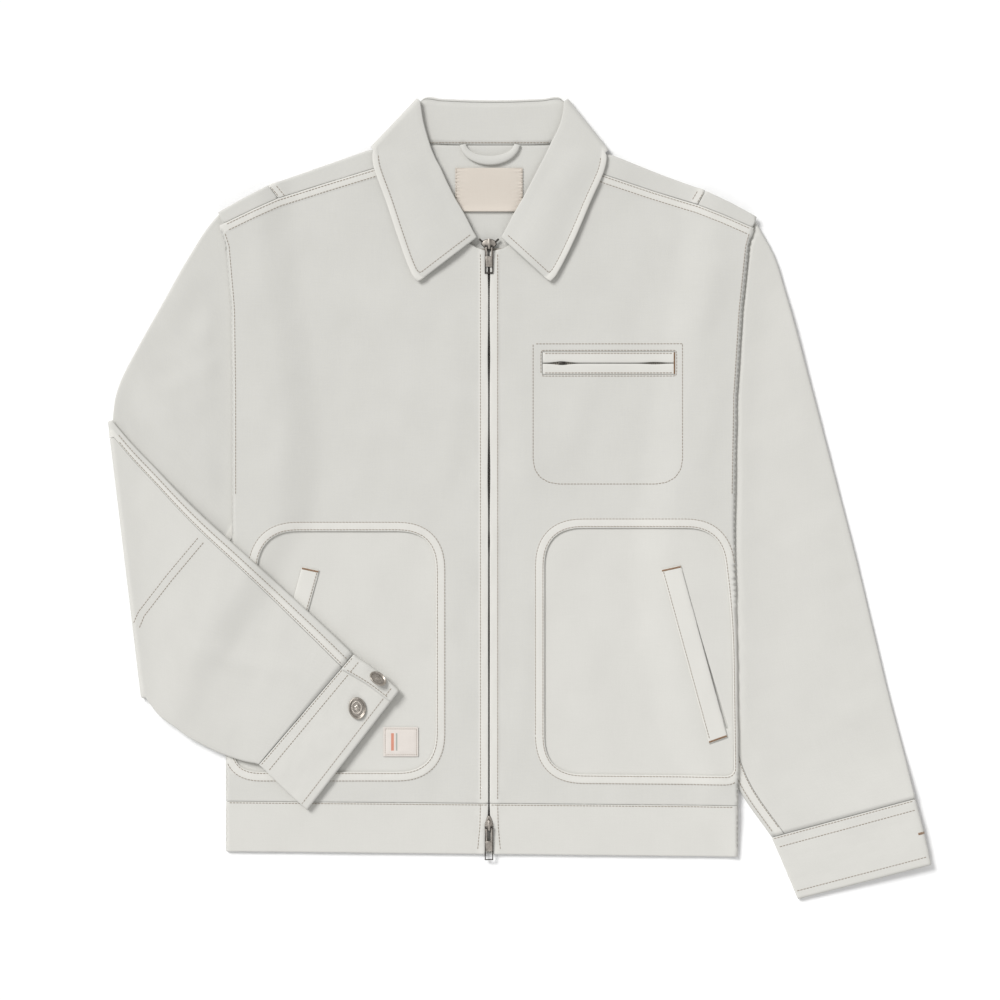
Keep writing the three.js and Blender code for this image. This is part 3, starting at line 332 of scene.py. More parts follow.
def cut_panel(outline, holes, step, grid, rows=EDGE_ROWS, folds=()):
    """Points and triangles of a cut piece, and each point's distance from its edge."""
    loops = [resampled(line, step) for line in (outline, *holes)]
    lines = [np.asarray(line, float) for line in (outline, *holes)]

    def fold_distance(points):
        return np.min([distance(points, line, False) for line in folds], axis=0)

    def edge_distance(points):
        return np.min([distance(points, line) for line in lines], axis=0)

    def on_cloth(points):
        keep = inside(points, lines[0])
        for line in lines[1:]:
            keep &= ~inside(points, line)
        return keep

    extra = []
    for loop in loops:
        tangent = np.roll(loop, -1, axis=0) - np.roll(loop, 1, axis=0)
        tangent /= np.linalg.norm(tangent, axis=1)[:, None] + 1e-9
        normal = np.stack([-tangent[:, 1], tangent[:, 0]], axis=1)
        for order, row in enumerate(rows):
            for side in (-1, 1):
                every = 1 if order < DENSE_ROWS else 2
                moved = (loop + normal * row * side)[::every]
                moved = moved[on_cloth(moved)]
                extra.append(moved[edge_distance(moved) > 0.93 * row])
    low, high = lines[0].min(0), lines[0].max(0)
    xs = np.arange(low[0], high[0], grid)
    ys = np.arange(low[1], high[1], grid * 0.866)
    mesh_x, mesh_y = np.meshgrid(xs, ys)
    mesh_x[1::2] += grid / 2
    lattice = np.stack([mesh_x.ravel(), mesh_y.ravel()], axis=1)
    lattice = lattice[on_cloth(lattice)]
    lattice = lattice[edge_distance(lattice) > rows[-1] + grid * 0.6]
    if folds:
        on_folds = np.vstack([resampled(line, step, False) for line in folds])
        on_folds = on_folds[on_cloth(on_folds)]
        on_folds = on_folds[edge_distance(on_folds) > 0.3]
        lattice = lattice[fold_distance(lattice) > grid * 0.5]
        extra = [*[part[fold_distance(part) > 0.5] for part in extra], on_folds]
    extra.append(lattice)
    points = np.vstack(loops + extra)
    edges = []
    start = 0
    for loop in loops:
        edges += [(start + k, start + (k + 1) % len(loop)) for k in range(len(loop))]
        start += len(loop)
    made = delaunay_2d_cdt([Vector(p) for p in points], edges, [], 0, 1e-6)
    points = np.array([tuple(p) for p in made[0]])
    triangles = np.array([face for face in made[2] if len(face) == 3], int).reshape(-1, 3)
    middles = points[triangles].mean(1)
    triangles = triangles[on_cloth(middles)]
    turned = doubled_areas(points, triangles)
    triangles[turned < 0] = triangles[turned < 0][:, ::-1]
    triangles = triangles[np.abs(turned) > 1e-7]
    return points, triangles, edge_distance(points)


def rim_edges(triangles):
    """The directed edges that only one triangle uses."""
    edges = np.vstack([triangles[:, [0, 1]], triangles[:, [1, 2]], triangles[:, [2, 0]]])
    key = np.sort(edges, axis=1)
    _, first, counts = np.unique(key, axis=0, return_index=True, return_counts=True)
    return edges[first[counts == 1]]


SURFACES = {}  # the points and faces of each finished piece, for the sewing
TABLE = {"cloth": 0.2, "thread": 0.02}  # nothing lies lower than this


def make_mesh(name, points, faces, cloth_map, material, body="jacket", slot="twill", raised=None):
    """A smooth mesh from points in laid millimetres; cloth_map is a place in the cut for each, and
    raised is the share of painted highlight there, from 0 to 1, most where an allowance under the cloth holds
    it up."""
    mesh = bpy.data.meshes.new(name)
    points = np.array(points, float)
    points[:, 2] = np.maximum(points[:, 2], TABLE["cloth" if slot == "twill" else "thread"])
    mesh.from_pydata(((points - ORIGIN) * MM).tolist(), [], [list(f) for f in faces])
    mesh.polygons.foreach_set("use_smooth", [True] * len(mesh.polygons))
    corner = np.empty(len(mesh.loops), int)
    mesh.loops.foreach_get("vertex_index", corner)
    if raised is not None:
        raised = np.stack([raised, np.zeros_like(raised)], axis=1)
    for layer_name, values in (("cloth", cloth_map), ("raised", raised)):
        if values is not None:
            layer = mesh.uv_layers.new(name=layer_name)
            layer.data.foreach_set("uv", np.asarray(values, float)[corner].ravel())
    mesh.materials.append(material)
    made = bpy.data.objects.new(name, mesh)
    bpy.context.collection.objects.link(made)
    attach(made, body)
    SURFACES[name] = (points, faces)
    return made


def cut_size(outline):
    """Width and length of the smallest rectangle of cloth that a piece is cut from."""
    points = np.asarray(outline, float)
    turns = np.radians(np.arange(0, 90, 2))
    boxes = [(np.ptp(points @ (math.cos(turn), math.sin(turn))),
              np.ptp(points @ (-math.sin(turn), math.cos(turn)))) for turn in turns]
    return np.array(min(boxes, key=lambda box: box[0] * box[1]))


def lay_panel(node, outline, form, holes=(), step=2.8, grid=5.0, profile=None, thickness=CLOTH,
              cloth="twill", material=twill, slot="twill", rows=EDGE_ROWS, folds=()):
    """Cuts a piece of cloth from its outline and lays it by a form, which gives the cloth's middle
    and its outward side. A profile gives how far the face stands up and its share of painted highlight."""
    flat, triangles, edge = cut_panel(outline, holes, step, grid, rows, folds)
    middle, out = form(flat)
    soft = EDGE_SOFTNESS * thickness * (1 - np.clip(edge, 0, 1)) ** 2
    puff, raised = (np.zeros(len(flat)), 0.0) if profile is None else profile(flat, edge)
    raised = np.tile(np.broadcast_to(raised, len(flat)), 2)
    top = middle + out * (thickness / 2 - soft + puff)[:, None]
    bottom = middle - out * (thickness / 2 - soft)[:, None]
    count = len(flat)
    rim = rim_edges(triangles)
    faces = [tuple(t) for t in triangles] + [tuple(t[::-1] + count) for t in triangles]
    faces += [(b, a, a + count, b + count) for a, b in rim]
    a, b, c = (top[triangles[:, k]] for k in range(3))
    if np.einsum("ij,ij->i", np.cross(b - a, c - a), out[triangles[:, 0]]).sum() < 0:
        faces = [face[::-1] for face in faces]
    made = make_mesh(f"{node}_{cloth}", np.vstack([top, bottom]), faces, np.vstack([flat, flat]), material,
                     slot=slot, raised=raised)
    size = np.maximum(cut_size(outline), NARROWEST_CUT) * MM
    area = np.abs(doubled_areas(flat, triangles)).sum() / 2 * MM * MM
    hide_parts(node)


# Each crease: x0, y0, x1, y1, half width, height, bow.
BACK_CREASES = [
    (-150, 520, 40, 430, 20, 0.8, 12),
    (150, 560, 60, 330, 18, 0.7, -10),
    (-60, 90, -120, 330, 16, 0.7, 8),
    (110, 60, 60, 250, 22, 0.6, -8),
]
FRONT_CREASES = [
    (-226, 548, -120, 470, 22, 1.5, 8),
    (-232, 430, -150, 372, 16, 1.3, -6),
    (-110, 545, -40, 400, 24, 1.0, 10),
    (-30, 500, -42, 330, 13, 0.9, 4),
    (30, 545, 120, 505, 16, 0.9, 6),
    (226, 545, 150, 420, 24, 1.5, -10),
    (224, 452, 176, 330, 16, 1.2, 6),
    (28, 420, 44, 318, 14, 0.9, -5),
    (-180, 240, -90, 120, 22, 0.9, 8),
    (90, 270, 190, 130, 26, 1.0, -8),
    (-36, 290, -24, 110, 10, 0.7, -3),
    (36, 270, 26, 90, 10, 0.7, 3),
]


def back_rise(x, y):
    return np.maximum(creases(BACK_CREASES, x, y) + 0.12 + 0.12 * ripple(x, y, 70, 7), 0)


def front_rise(x, y):
    inward = np.minimum(x - column(BODY_SIDES, "right", y), column(BODY_SIDES, "left", y) - x)
    sides = smoothstep(inward, 3, 34)
    ends = (0.35 + 0.65 * smoothstep(y, 0, 60)) * (1 - smoothstep(y, 560, 600))
    own = creases(FRONT_CREASES, x, y) + 0.45 + 0.40 * ripple(x, y, 90, 3) + 0.16 * ripple(x, y, 31, 4)
    return np.maximum(own, 0) * sides * ends


def rise(x, y, share):
    """How high the laid cloth stands over its layer; share is 0 for the back and 1 for the front."""
    return lift(x, y) + back_rise(x, y) + share * front_rise(x, y)


TURN = SIDE_ROLL - CLOTH / 2
HALF_TURN = math.pi * TURN


def laid(layer, share=1.0):
    """The form of a piece that lies flat in one layer, face up."""
    def form(flat):
        x, y = flat[:, 0], flat[:, 1]
        z = LAYER[layer] + CLOTH / 2 + rise(x, y, share)
        return np.stack([x, y, z], axis=1), np.tile([0.0, 0.0, 1.0], (len(flat), 1))
    return form


def front_form(flat):
    """A front lies face up and turns under at the jacket's side."""
    x, y = flat[:, 0].copy(), flat[:, 1]
    left = column(BODY_SIDES, "right", y) + SIDE_ROLL
    right = column(BODY_SIDES, "left", y) - SIDE_ROLL
    side = np.where(x < left, -1.0, np.where(x > right, 1.0, 0.0))
    past = np.maximum(np.maximum(left - x, x - right), 0)
    angle = np.clip(past / TURN, 0, math.pi)
    centre = np.where(side < 0, left, right)
    under = np.maximum(past - HALF_TURN, 0)
    x = np.where(side == 0, x, centre + side * (TURN * np.sin(angle) - under))
    z = SIDE_ROLL + TURN * np.cos(angle) + rise(x, y, 1 - angle / math.pi)
    out = np.stack([side * np.sin(angle), np.zeros_like(x), np.cos(angle)], axis=1)
    return np.stack([x, y, z], axis=1), out


# Points along each shoulder, neck first: fold x, y and seam x, y
SHOULDERS = {
    "right": [(-96, 648, -92, 634), (-112, 646, -107, 629), (-158, 630, -150, 616),
              (-203, 614, -194, 602), (-226, 602, -218, 591), (-249, 589, -243, 579)],
    "left": [(96, 647, 93, 629), (118, 640, 108, 623), (158, 624, 150, 609),
             (199, 609, 192, 596), (222, 598, 217, 586), (246, 585, 242, 575)],
}
SIDE_SEAM_ROW = 3


def shoulder_rows(name):
    """For each row: where the half turn starts, the outward direction, and the width of the strip."""
    rows = []
    for fold_x, fold_y, seam_x, seam_y in SHOULDERS[name]:
        forward = np.array([seam_x - fold_x, seam_y - fold_y], float)
        width = np.linalg.norm(forward)
        forward /= width
        start = np.array([fold_x, fold_y]) + forward * SIDE_ROLL
        rows.append((start, -forward, HALF_TURN + width - SIDE_ROLL - GAP / 2))
    return rows


def back_form(flat):
    """A back lies face down and turns forward over the shoulder fold."""
    middle = np.stack([flat[:, 0], flat[:, 1], CLOTH / 2 + rise(flat[:, 0], flat[:, 1], 0)], axis=1)
    out = np.tile([0.0, 0.0, -1.0], (len(flat), 1))
    for name in SHOULDERS:
        rows = shoulder_rows(name)
        starts = np.array([row[0] for row in rows])
        outward = np.array([row[1] for row in rows])
        order = np.argsort(starts[:, 0])
        starts, outward = starts[order], outward[order]
        near = (flat[:, 0] > starts[0, 0] - 12) & (flat[:, 0] < starts[-1, 0] + 12)
        if not near.any():
            continue
        x, y = flat[near, 0], flat[near, 1]
        foot_x = x.copy()
        for _ in range(12):
            foot_y = np.interp(foot_x, starts[:, 0], starts[:, 1])
            way_x = np.interp(foot_x, starts[:, 0], outward[:, 0])
            way_y = np.interp(foot_x, starts[:, 0], outward[:, 1])
            past = (y - foot_y) / way_y
            foot_x = x - way_x * np.maximum(past, 0)
        past = np.maximum(past, 0)
        angle = np.clip(past / TURN, 0, math.pi)
        back = TURN * np.sin(angle) - np.maximum(past - HALF_TURN, 0)
        turned_x = np.where(past > 0, foot_x + way_x * back, x)
        turned_y = np.where(past > 0, foot_y + way_y * back, y)
        z = SIDE_ROLL - TURN * np.cos(angle) + rise(turned_x, turned_y, angle / math.pi)
        middle[near] = np.stack([turned_x, turned_y, z], axis=1)
        out[near] = np.stack([way_x * np.sin(angle), way_y * np.sin(angle), -np.cos(angle)], axis=1)
    return middle, out


def shoulder_folds():
    """Lines along the half turn over each shoulder, close enough to keep it round."""
    return [[tuple(start + way * past) for start, way, _ in shoulder_rows(name)]
            for name in SHOULDERS for past in np.linspace(-0.7, HALF_TURN + 0.7, 9)]


def shoulder_end(name, first, last):
    """The cut end of the back along some rows of a shoulder."""
    return [tuple(start + way * reach) for start, way, reach in shoulder_rows(name)[first:last + 1]]


def hem_line(right, left, x):
    """A height at x on the line between two heights at the hem's right and left ends."""
    start, end = BODY_SIDES["right"][0], BODY_SIDES["left"][0]
    return right + (left - right) * (x - start) / (end - start)


def hem_bottom(x):
    return hem_line(2, -3, x)


def hem_seam(x):
    return hem_line(48, 44, x)


def side_line(name, inset, low, high):
    """Points up one side of the body, a distance inside its edge."""
    heights = [low, *[y for y in range(-20, 600, 30) if low + 5 < y < high - 5], high]
    return [(float(column(BODY_SIDES, name, y)) + inset, y) for y in heights]


# Share of painted highlight on cloth that an allowance holds up.
ALLOWANCE_HIGHLIGHT = 0.52


def band(lines, width, height, pucker=0.22, painted_highlight=0.0):
    """A seam allowance that stands under the cloth beside some lines, with uneven puckers and a painted
    highlight where it holds the cloth up; painted_highlight is the share of painted highlight on the rest of
    the piece."""
    def profile(flat, edge):
        near = np.min([distance(flat, line, closed) for line, closed in lines], axis=0)
        raised = 1 - smoothstep(near, width - 0.9, width + 0.9)
        uneven = pucker * ripple(flat[:, 0], flat[:, 1], 13, 11)
        uneven = uneven * np.exp(-((near / (width + 4)) ** 2)) * smoothstep(near, 0, 2)
        return height * raised + uneven, np.maximum(painted_highlight, ALLOWANCE_HIGHLIGHT * raised)
    return profile


BACK_SEAM = {"right": -168, "left": 158}
BACK_INSET = 3.6
NECK_SEAM_Y = 651
HALF_GAP = GAP / 2
SEAM_GAP = 1.5 * GAP


def row_start(name, row, shift):
    start = shoulder_rows(name)[row][0]
    return (start[0] + shift, start[1])


def shifted(points, shift):
    return [(x + shift, y) for x, y in points]


back_outline = [
    (BACK_SEAM["right"] + GAP, hem_seam(BACK_SEAM["right"]) + HALF_GAP),
    (BACK_SEAM["left"] - GAP, hem_seam(BACK_SEAM["left"]) + HALF_GAP),
    row_start("left", SIDE_SEAM_ROW, -SEAM_GAP),
    *shifted(shoulder_end("left", SIDE_SEAM_ROW, SIDE_SEAM_ROW), -SEAM_GAP),
    *shoulder_end("left", 0, SIDE_SEAM_ROW - 1)[::-1],
    row_start("left", 0, 0),
    (56, NECK_SEAM_Y - HALF_GAP), (-54, NECK_SEAM_Y - HALF_GAP),
    row_start("right", 0, 0),
    *shoulder_end("right", 0, SIDE_SEAM_ROW - 1),
    *shifted(shoulder_end("right", SIDE_SEAM_ROW, SIDE_SEAM_ROW), SEAM_GAP),
    row_start("right", SIDE_SEAM_ROW, SEAM_GAP),
]
back_seams = [
    [(BACK_SEAM["right"], 48), row_start("right", SIDE_SEAM_ROW, 0),
     *shoulder_end("right", SIDE_SEAM_ROW, SIDE_SEAM_ROW)],
    [(BACK_SEAM["left"], 45), row_start("left", SIDE_SEAM_ROW, 0),
     *shoulder_end("left", SIDE_SEAM_ROW, SIDE_SEAM_ROW)],
]
back_profile = band([(line, False) for line in back_seams], 7.6, 0.35, 0.12)
folds = shoulder_folds()
lay_panel("back_centre", back_outline, back_form, grid=7, profile=back_profile, folds=folds)

for name, side in SIDES:
    hem_x = BACK_SEAM[name]
    low = hem_seam(side * 240) + HALF_GAP
    last_start = row_start(name, 5, 0)
    outline = [
        (hem_x, hem_seam(hem_x) + HALF_GAP),
        *side_line(name, -side * BACK_INSET, low, last_start[1] - 8),
        last_start,
        *shoulder_end(name, SIDE_SEAM_ROW, 5)[::-1],
        row_start(name, SIDE_SEAM_ROW, 0),
    ]
    lay_panel(f"side_back_{name}", outline, back_form, grid=7, folds=folds)

lay_panel("hem_back", [
    *side_line("right", BACK_INSET, hem_bottom(-240), hem_seam(-240) - HALF_GAP)[::-1],
    (-238, hem_bottom(-238)), (225, hem_bottom(225)),
    *side_line("left", -BACK_INSET, hem_bottom(226), hem_seam(226) - HALF_GAP),
], back_form, grid=8)


# Fronts. Each is cut away round its inset hand pocket, with the allowance turned back under a
# raised band, and its zip edge is folded under beside the teeth.
# Corners of the openings: x, y and how far from the corner its curve begins
POCKETS = {
    "right": [(-238, 75, 28), (-49, 75, 35), (-49, 296, 35), (-208.5, 296, 32)],
    "left": [(51, 73, 35), (225, 71.5, 8), (223, 215, 40), (213, 299, 32), (51, 299, 35)],
}
NECK_EDGES = {
    "right": [(-78, 637), (-68, 615), (-50, 588), (-30, 568), (-12, 557)],
    "left": [(80, 634), (70, 612), (52, 586), (32, 567), (13, 556)],
}
CHEST_WINDOW = {"left": 49, "right": 171, "bottom": 440, "top": 461}
# Where the zip edges part a little: height, spread and extra half gap
ZIP_PARTS = [(457, 20, 0.5), (349, 26, 0.6), (286, 8, 0.3), (532, 10, 0.5), (200, 40, 0.15)]


def zip_edge(y):
    return 0.62 + sum(extra * math.exp(-(((y - at) / spread) ** 2)) for at, spread, extra in ZIP_PARTS)


def round_corners(corners):
    """A closed line round some corners, each a place and how far from it the curve begins."""
    line = []
    for i, (x, y, start) in enumerate(corners):
        corner = np.array([x, y], float)
        ends = []
        for other in (corners[i - 1], corners[(i + 1) % len(corners)]):
            way = np.array(other[:2], float) - corner
            ends.append(corner + way / np.linalg.norm(way) * start)
        line += [tuple((1 - t) ** 2 * ends[0] + 2 * t * (1 - t) * corner + t * t * ends[1])
                 for t in np.linspace(0, 1, 11)]
    return line


def grown(line, distance_out):
    """A closed line that runs anticlockwise, moved outwards."""
    line = resampled(line, 2.0)
    run = np.roll(line, -1, axis=0) - np.roll(line, 1, axis=0)
    run /= np.linalg.norm(run, axis=1)[:, None]
    moved = line + np.stack([run[:, 1], -run[:, 0]], axis=1) * distance_out
    return [*map(tuple, moved), tuple(moved[0])]


def rectangle(left, right, bottom, top):
    return [(left, bottom), (right, bottom), (right, top), (left, top)]


openings = {name: round_corners(corners) for name, corners in POCKETS.items()}
FRONT_ROWS = (0.4, 1.0, 1.9, 3.2, 5.0, 6.8, 7.9, 8.7, 9.5, 11.0)
SIDE_TURN = HALF_TURN - SIDE_ROLL + 1.0
ZIP_EDGE = 0.6
ALLOWANCE = 8.3
HEM_FLARE = 1.6
for name, side in SIDES:
    low = hem_seam(0) + HALF_GAP
    zip_line = [(side * zip_edge(y), y) for y in np.linspace(low, 553, 90)]
    side_low = hem_seam(side * 240) + HALF_GAP
    outline = [
        *zip_line[::-1],
        *side_line(name, side * SIDE_TURN, side_low, 575),
        *[(x, y - HALF_GAP) for _, _, x, y in SHOULDERS[name][::-1]],
        *NECK_EDGES[name],
    ]
    holes = [openings[name]] + ([rectangle(**CHEST_WINDOW)] if side > 0 else [])
    seams = [([(side * ZIP_EDGE, 40), (side * ZIP_EDGE, 553)], False), (openings[name], True),
             ([(x, y) for _, _, x, y in SHOULDERS[name]], False)]
    lay_panel(f"front_{name}", outline, front_form, holes,
              profile=band(seams, ALLOWANCE, 0.55), rows=FRONT_ROWS)

    hem_low, hem_high = hem_bottom(0), hem_seam(0) - HALF_GAP
    hem_edge = [([(side * ZIP_EDGE, -5), (side * ZIP_EDGE, 50)], False)]
    # The hem band gets a faint painted highlight all over, besides the stronger one on its raised allowance.
    lay_panel(f"hem_front_{name}", [
        (side * (zip_edge(30) + HEM_FLARE), hem_low), (side * zip_edge(30), hem_high),
        (side * 200, hem_seam(side * 200) - HALF_GAP),
        *side_line(name, side * SIDE_TURN, hem_bottom(side * 240), hem_seam(side * 240) - HALF_GAP)[::-1],
        (side * 200, hem_bottom(side * 200)),
    ], front_form, profile=band(hem_edge, ALLOWANCE, 0.4, painted_highlight=0.2), rows=FRONT_ROWS)


# Hand pockets. A panel lies under each front's opening, and a slanted welt stands on it beside
# the slit for the hand.
# Corners of the welts: outer top, inner top, inner low and outer low
WELTS = {
    "right": [(-172, 263.5), (-156, 260), (-200, 100), (-215, 105.5)],
    "left": [(176, 265), (158, 261), (202, 101), (219, 107)],
}
POCKET_ALLOWANCE = 10
SLIT = {"under": 1.0, "beside": 0.9, "ends": 8}
for name, side in SIDES:
    corners = POCKETS[name]
    (top_x, top_y), _, _, (low_x, low_y) = WELTS[name]
    near, far, ends = -side * SLIT["under"], side * SLIT["beside"], SLIT["ends"]
    slit = [(top_x + near, top_y - ends), (top_x + far, top_y - ends),
            (low_x + far, low_y + ends), (low_x + near, low_y + ends)]
    inner_x = side * (min(abs(x) for x, _, _ in corners) - POCKET_ALLOWANCE)
    low, high = corners[0][1] - POCKET_ALLOWANCE, corners[-1][1] + POCKET_ALLOWANCE
    outline = [(inner_x, low), *side_line(name, -side * BACK_INSET, low, high), (inner_x, high)]
    # The pocket panel takes a faint painted highlight all over, and the welt a stronger one.
    lay_panel(f"pocket_panel_{name}", outline, laid("pocket"), [slit], grid=6,
              profile=lambda flat, edge: (0.0 * edge, 0.18))
    lay_panel(f"welt_{name}", WELTS[name], laid("front"), step=2.2, grid=4,
              profile=lambda flat, edge: (0.25 * smoothstep(edge, 0, 3), 0.5))


# Chest pocket, on the wearer's left. Two narrow welts meet over a short metal zip set into the
# front, and a pocket bag hangs behind it, so only its stitching shows.
CHEST_SLIT = 450.5
# Where the welts part: place along the slit, spread and extra half gap
CHEST_PARTS = [(67, 9, 1.25), (152, 9, 0.7)]


def chest_gap(x):
    return 0.35 + sum(extra * math.exp(-(((x - at) / spread) ** 2)) for at, spread, extra in CHEST_PARTS)


slit_places = np.linspace(CHEST_WINDOW["left"] + GAP, CHEST_WINDOW["right"] - GAP, 60)
for name, sign, end in (("upper", 1, "top"), ("lower", -1, "bottom")):
    far = CHEST_WINDOW[end] - sign * GAP
    outline = [
        *[(x, CHEST_SLIT + sign * chest_gap(x)) for x in slit_places],
        (slit_places[-1], far), (slit_places[0], far),
    ]
    # Each welt takes a painted highlight all over.
    lay_panel(f"chest_welt_{name}", outline, laid("front"), step=2.2, grid=3.5,
              profile=lambda flat, edge: (0.2 * smoothstep(edge, 0, 2.5), 0.4))


# Sleeves. Each is a flattened tube of twill, a top sleeve and an under sleeve that meet at two
# felled seams. A ring runs across the tube from its outer fold to its inner fold; its face side
# turns by an angle about the elbow fold, from 0 (up) to half a turn (down).
RING = ("outer_x", "outer_y", "inner_x", "inner_y", "base_from", "base_to", "turn", "fold")
SLEEVE_HEIGHT = 4.2
EDGE_TURN = SLEEVE_HEIGHT / 2 - CLOTH / 2
SEAM_INSET = {"inner": 12, "back": 16}


def ring(outer_x, outer_y, inner_x, inner_y, base_from=0.0, base_to=None, turn=0.0, fold=1.0):
    base_to = base_from if base_to is None else base_to
    return [outer_x, outer_y, inner_x, inner_y, base_from, base_to, turn, fold]


def fine_rings(rings, step):
    """Rings about a step apart, on a smooth curve through the given ones."""
    rings = np.array(rings, float)
    middles = (rings[:, 0:2] + rings[:, 2:4]) / 2
    spans = np.maximum(np.linalg.norm(np.diff(middles, axis=0), axis=1), 1e-6)
    at = np.concatenate([[0], np.cumsum(spans)])
    slopes = np.gradient(rings, at, axis=0)
    fine = []
    for i, span in enumerate(spans):
        for k in range(max(1, round(span / step))):
            t = k / max(1, round(span / step))
            curve = ((2 * t**3 - 3 * t**2 + 1) * rings[i] + (t**3 - 2 * t**2 + t) * span * slopes[i]
                     + (3 * t**2 - 2 * t**3) * rings[i + 1] + (t**3 - t**2) * span * slopes[i + 1])
            straight = rings[i] * (1 - t) + rings[i + 1] * t
            fine.append(np.concatenate([curve[:4], straight[4:]]))
    fine.append(rings[-1])
    return np.array(fine)


def no_swell(x, y, edge):
    return np.zeros(len(edge)), 0.0


def lay_loft(node, rings, section, height_at, swell=no_swell):
    """Lofts one wall of twill along rings. The section gives, for each point of a ring, its
    distance across, height, outward way, face share and distance from the piece's edge."""
    middles, outs, cut, raised = [], [], [], []
    along = 0.0
    before = None
    for order, values in enumerate(rings):
        given = dict(zip(RING, values))
        start = np.array([given["outer_x"], given["outer_y"], given["base_from"]])
        end = np.array([given["inner_x"], given["inner_y"], given["base_to"]])
        width = np.linalg.norm(end - start)
        across = (end - start) / width
        away = np.array([-across[1], across[0], 0]) / np.hypot(across[0], across[1]) * given["fold"]
        normal = np.array([0, 0, math.cos(given["turn"])]) - away * math.sin(given["turn"])
        points = np.array(section(width, order / (len(rings) - 1)))
        middle = start + points[:, 0:1] * across + points[:, 1:2] * normal
        out = points[:, 2:3] * across + points[:, 3:4] * normal
        middle[:, 2] += height_at(middle[:, 0], middle[:, 1], points[:, 4], given["turn"])
        # A swell gives a height and a share of painted highlight.
        height, share = swell(middle[:, 0], middle[:, 1], points[:, 5])
        middle += out * height[:, None]
        raised.append(np.broadcast_to(share, len(points)))
        if before is not None:
            along += np.linalg.norm(middle - before, axis=1).mean()
        before = middle
        run = np.concatenate([[0], np.cumsum(np.linalg.norm(np.diff(points[:, :2], axis=0), axis=1))])
        middles.append(middle)
        outs.append(out)
        cut.append(np.stack([run, np.full(len(run), along)], axis=1))
    middles, outs, cut = np.array(middles), np.array(outs), np.array(cut)
    rows, columns = middles.shape[:2]
    half = np.full((rows, columns, 1), CLOTH / 2)
    half[0] = half[-1] = half[:, 0] = half[:, -1] = 0.36 * CLOTH
    points = np.concatenate([middles + outs * half, middles - outs * half]).reshape(-1, 3)
    number = np.arange(rows * columns).reshape(rows, columns)
    a, b, c, d = (part.ravel() for part in (
        number[:-1, :-1], number[1:, :-1], number[1:, 1:], number[:-1, 1:]))
    count = rows * columns
    faces = np.concatenate([np.stack([a, b, c, d], 1), np.stack([d, c, b, a], 1) + count])
    rim = np.concatenate([number[:, 0], number[-1, 1:], number[-2::-1, -1], number[0, -2::-1]])
    wall = np.stack([rim[1:], rim[:-1], rim[:-1] + count, rim[1:] + count], 1)
    faces = np.concatenate([faces, wall])
    p = points[faces]
    if (np.einsum("ij,ij->i", p[:, 0], np.cross(p[:, 1] - p[:, 0], p[:, 2] - p[:, 0]))
            + np.einsum("ij,ij->i", p[:, 0], np.cross(p[:, 2] - p[:, 0], p[:, 3] - p[:, 0]))).sum() < 0:
        faces = faces[:, ::-1]
    made = make_mesh(f"{node}_twill", points, [tuple(f) for f in faces],
                     np.tile(cut.reshape(-1, 2), (2, 1)), twill, raised=np.tile(np.concatenate(raised), 2))
    side_a = middles[1:, :-1] - middles[:-1, :-1]
    side_b = middles[:-1, 1:] - middles[:-1, :-1]
    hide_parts(node)


FACE_POINTS = 34


def across_face(start, end, height, way, count=FACE_POINTS):
    """Points straight across one face of a section; the cloth's outside faces the given way."""
    return [(start + (end - start) * k / count, height, 0, way) for k in range(count + 1)]


def round_edge(centre, side, radius, middle, from_top, steps=7):
    """Points round a fold of a section, from its upper face to its lower one or back."""
    points = []
    for k in range(steps + 1):
        angle = math.pi * k / steps
        if not from_top:
            angle = math.pi - angle
        reach, up = side * math.sin(angle), math.cos(angle)
        points.append((centre + reach * radius, middle + up * radius, reach, up))
    return points


def finish_section(points, height):
    """Adds each point's face share and its distance from the piece's two long edges."""
    points = np.array(points)
    run = np.concatenate([[0], np.cumsum(np.linalg.norm(np.diff(points[:, :2], axis=0), axis=1))])
    face = np.clip(points[:, 1] / height, 0, 1)
    return np.column_stack([points, face, np.minimum(run, run[-1] - run)])


def edge_steps(start, end):
    """Distances from a seam that show its raised allowance, going from start towards end."""
    sign = 1 if end > start else -1
    return [start + sign * d for d in (0, 0.6, 1.6, 3.0, 4.6, 6.2, 7.0, 7.8, 9.5)]


def faced(start, end, height, way, bands, count=FACE_POINTS):
    """A straight face with fine steps at the ends that are seams."""
    values = edge_steps(start, end) if "start" in bands else [start]
    tail = edge_steps(end, start)[::-1] if "end" in bands else [end]
    between = [values[-1] + (tail[0] - values[-1]) * k / count for k in range(1, count)]
    return [(value, height, 0, way) for value in [*values, *between, *tail]]


def top_sleeve_section(width, along):
    top, low = SLEEVE_HEIGHT - CLOTH / 2, CLOTH / 2
    return finish_section([
        *faced(width - SEAM_INSET["inner"] - HALF_GAP, SLEEVE_HEIGHT / 2, top, 1, ("start",))[:-1],
        *round_edge(SLEEVE_HEIGHT / 2, -1, EDGE_TURN, SLEEVE_HEIGHT / 2, True),
        *faced(SLEEVE_HEIGHT / 2, SEAM_INSET["back"] - HALF_GAP, low, -1, ("end",), 3)[1:],
    ], SLEEVE_HEIGHT)


def under_sleeve_section(width, along):
    top, low = SLEEVE_HEIGHT - CLOTH / 2, CLOTH / 2
    centre = width - SLEEVE_HEIGHT / 2
    return finish_section([
        *faced(width - SEAM_INSET["inner"] + HALF_GAP, centre, top, 1, ("start",), 1)[:-1],
        *round_edge(centre, 1, EDGE_TURN, SLEEVE_HEIGHT / 2, True),
        *faced(centre, SEAM_INSET["back"] + HALF_GAP, low, -1, ("end",))[1:],
    ], SLEEVE_HEIGHT)


FELLED_WIDTH = 7.8
FOREARM_TOP = (-346, 398)
FOREARM_AWAY = (0.696, 0.718)
BODY_COVERS = 470


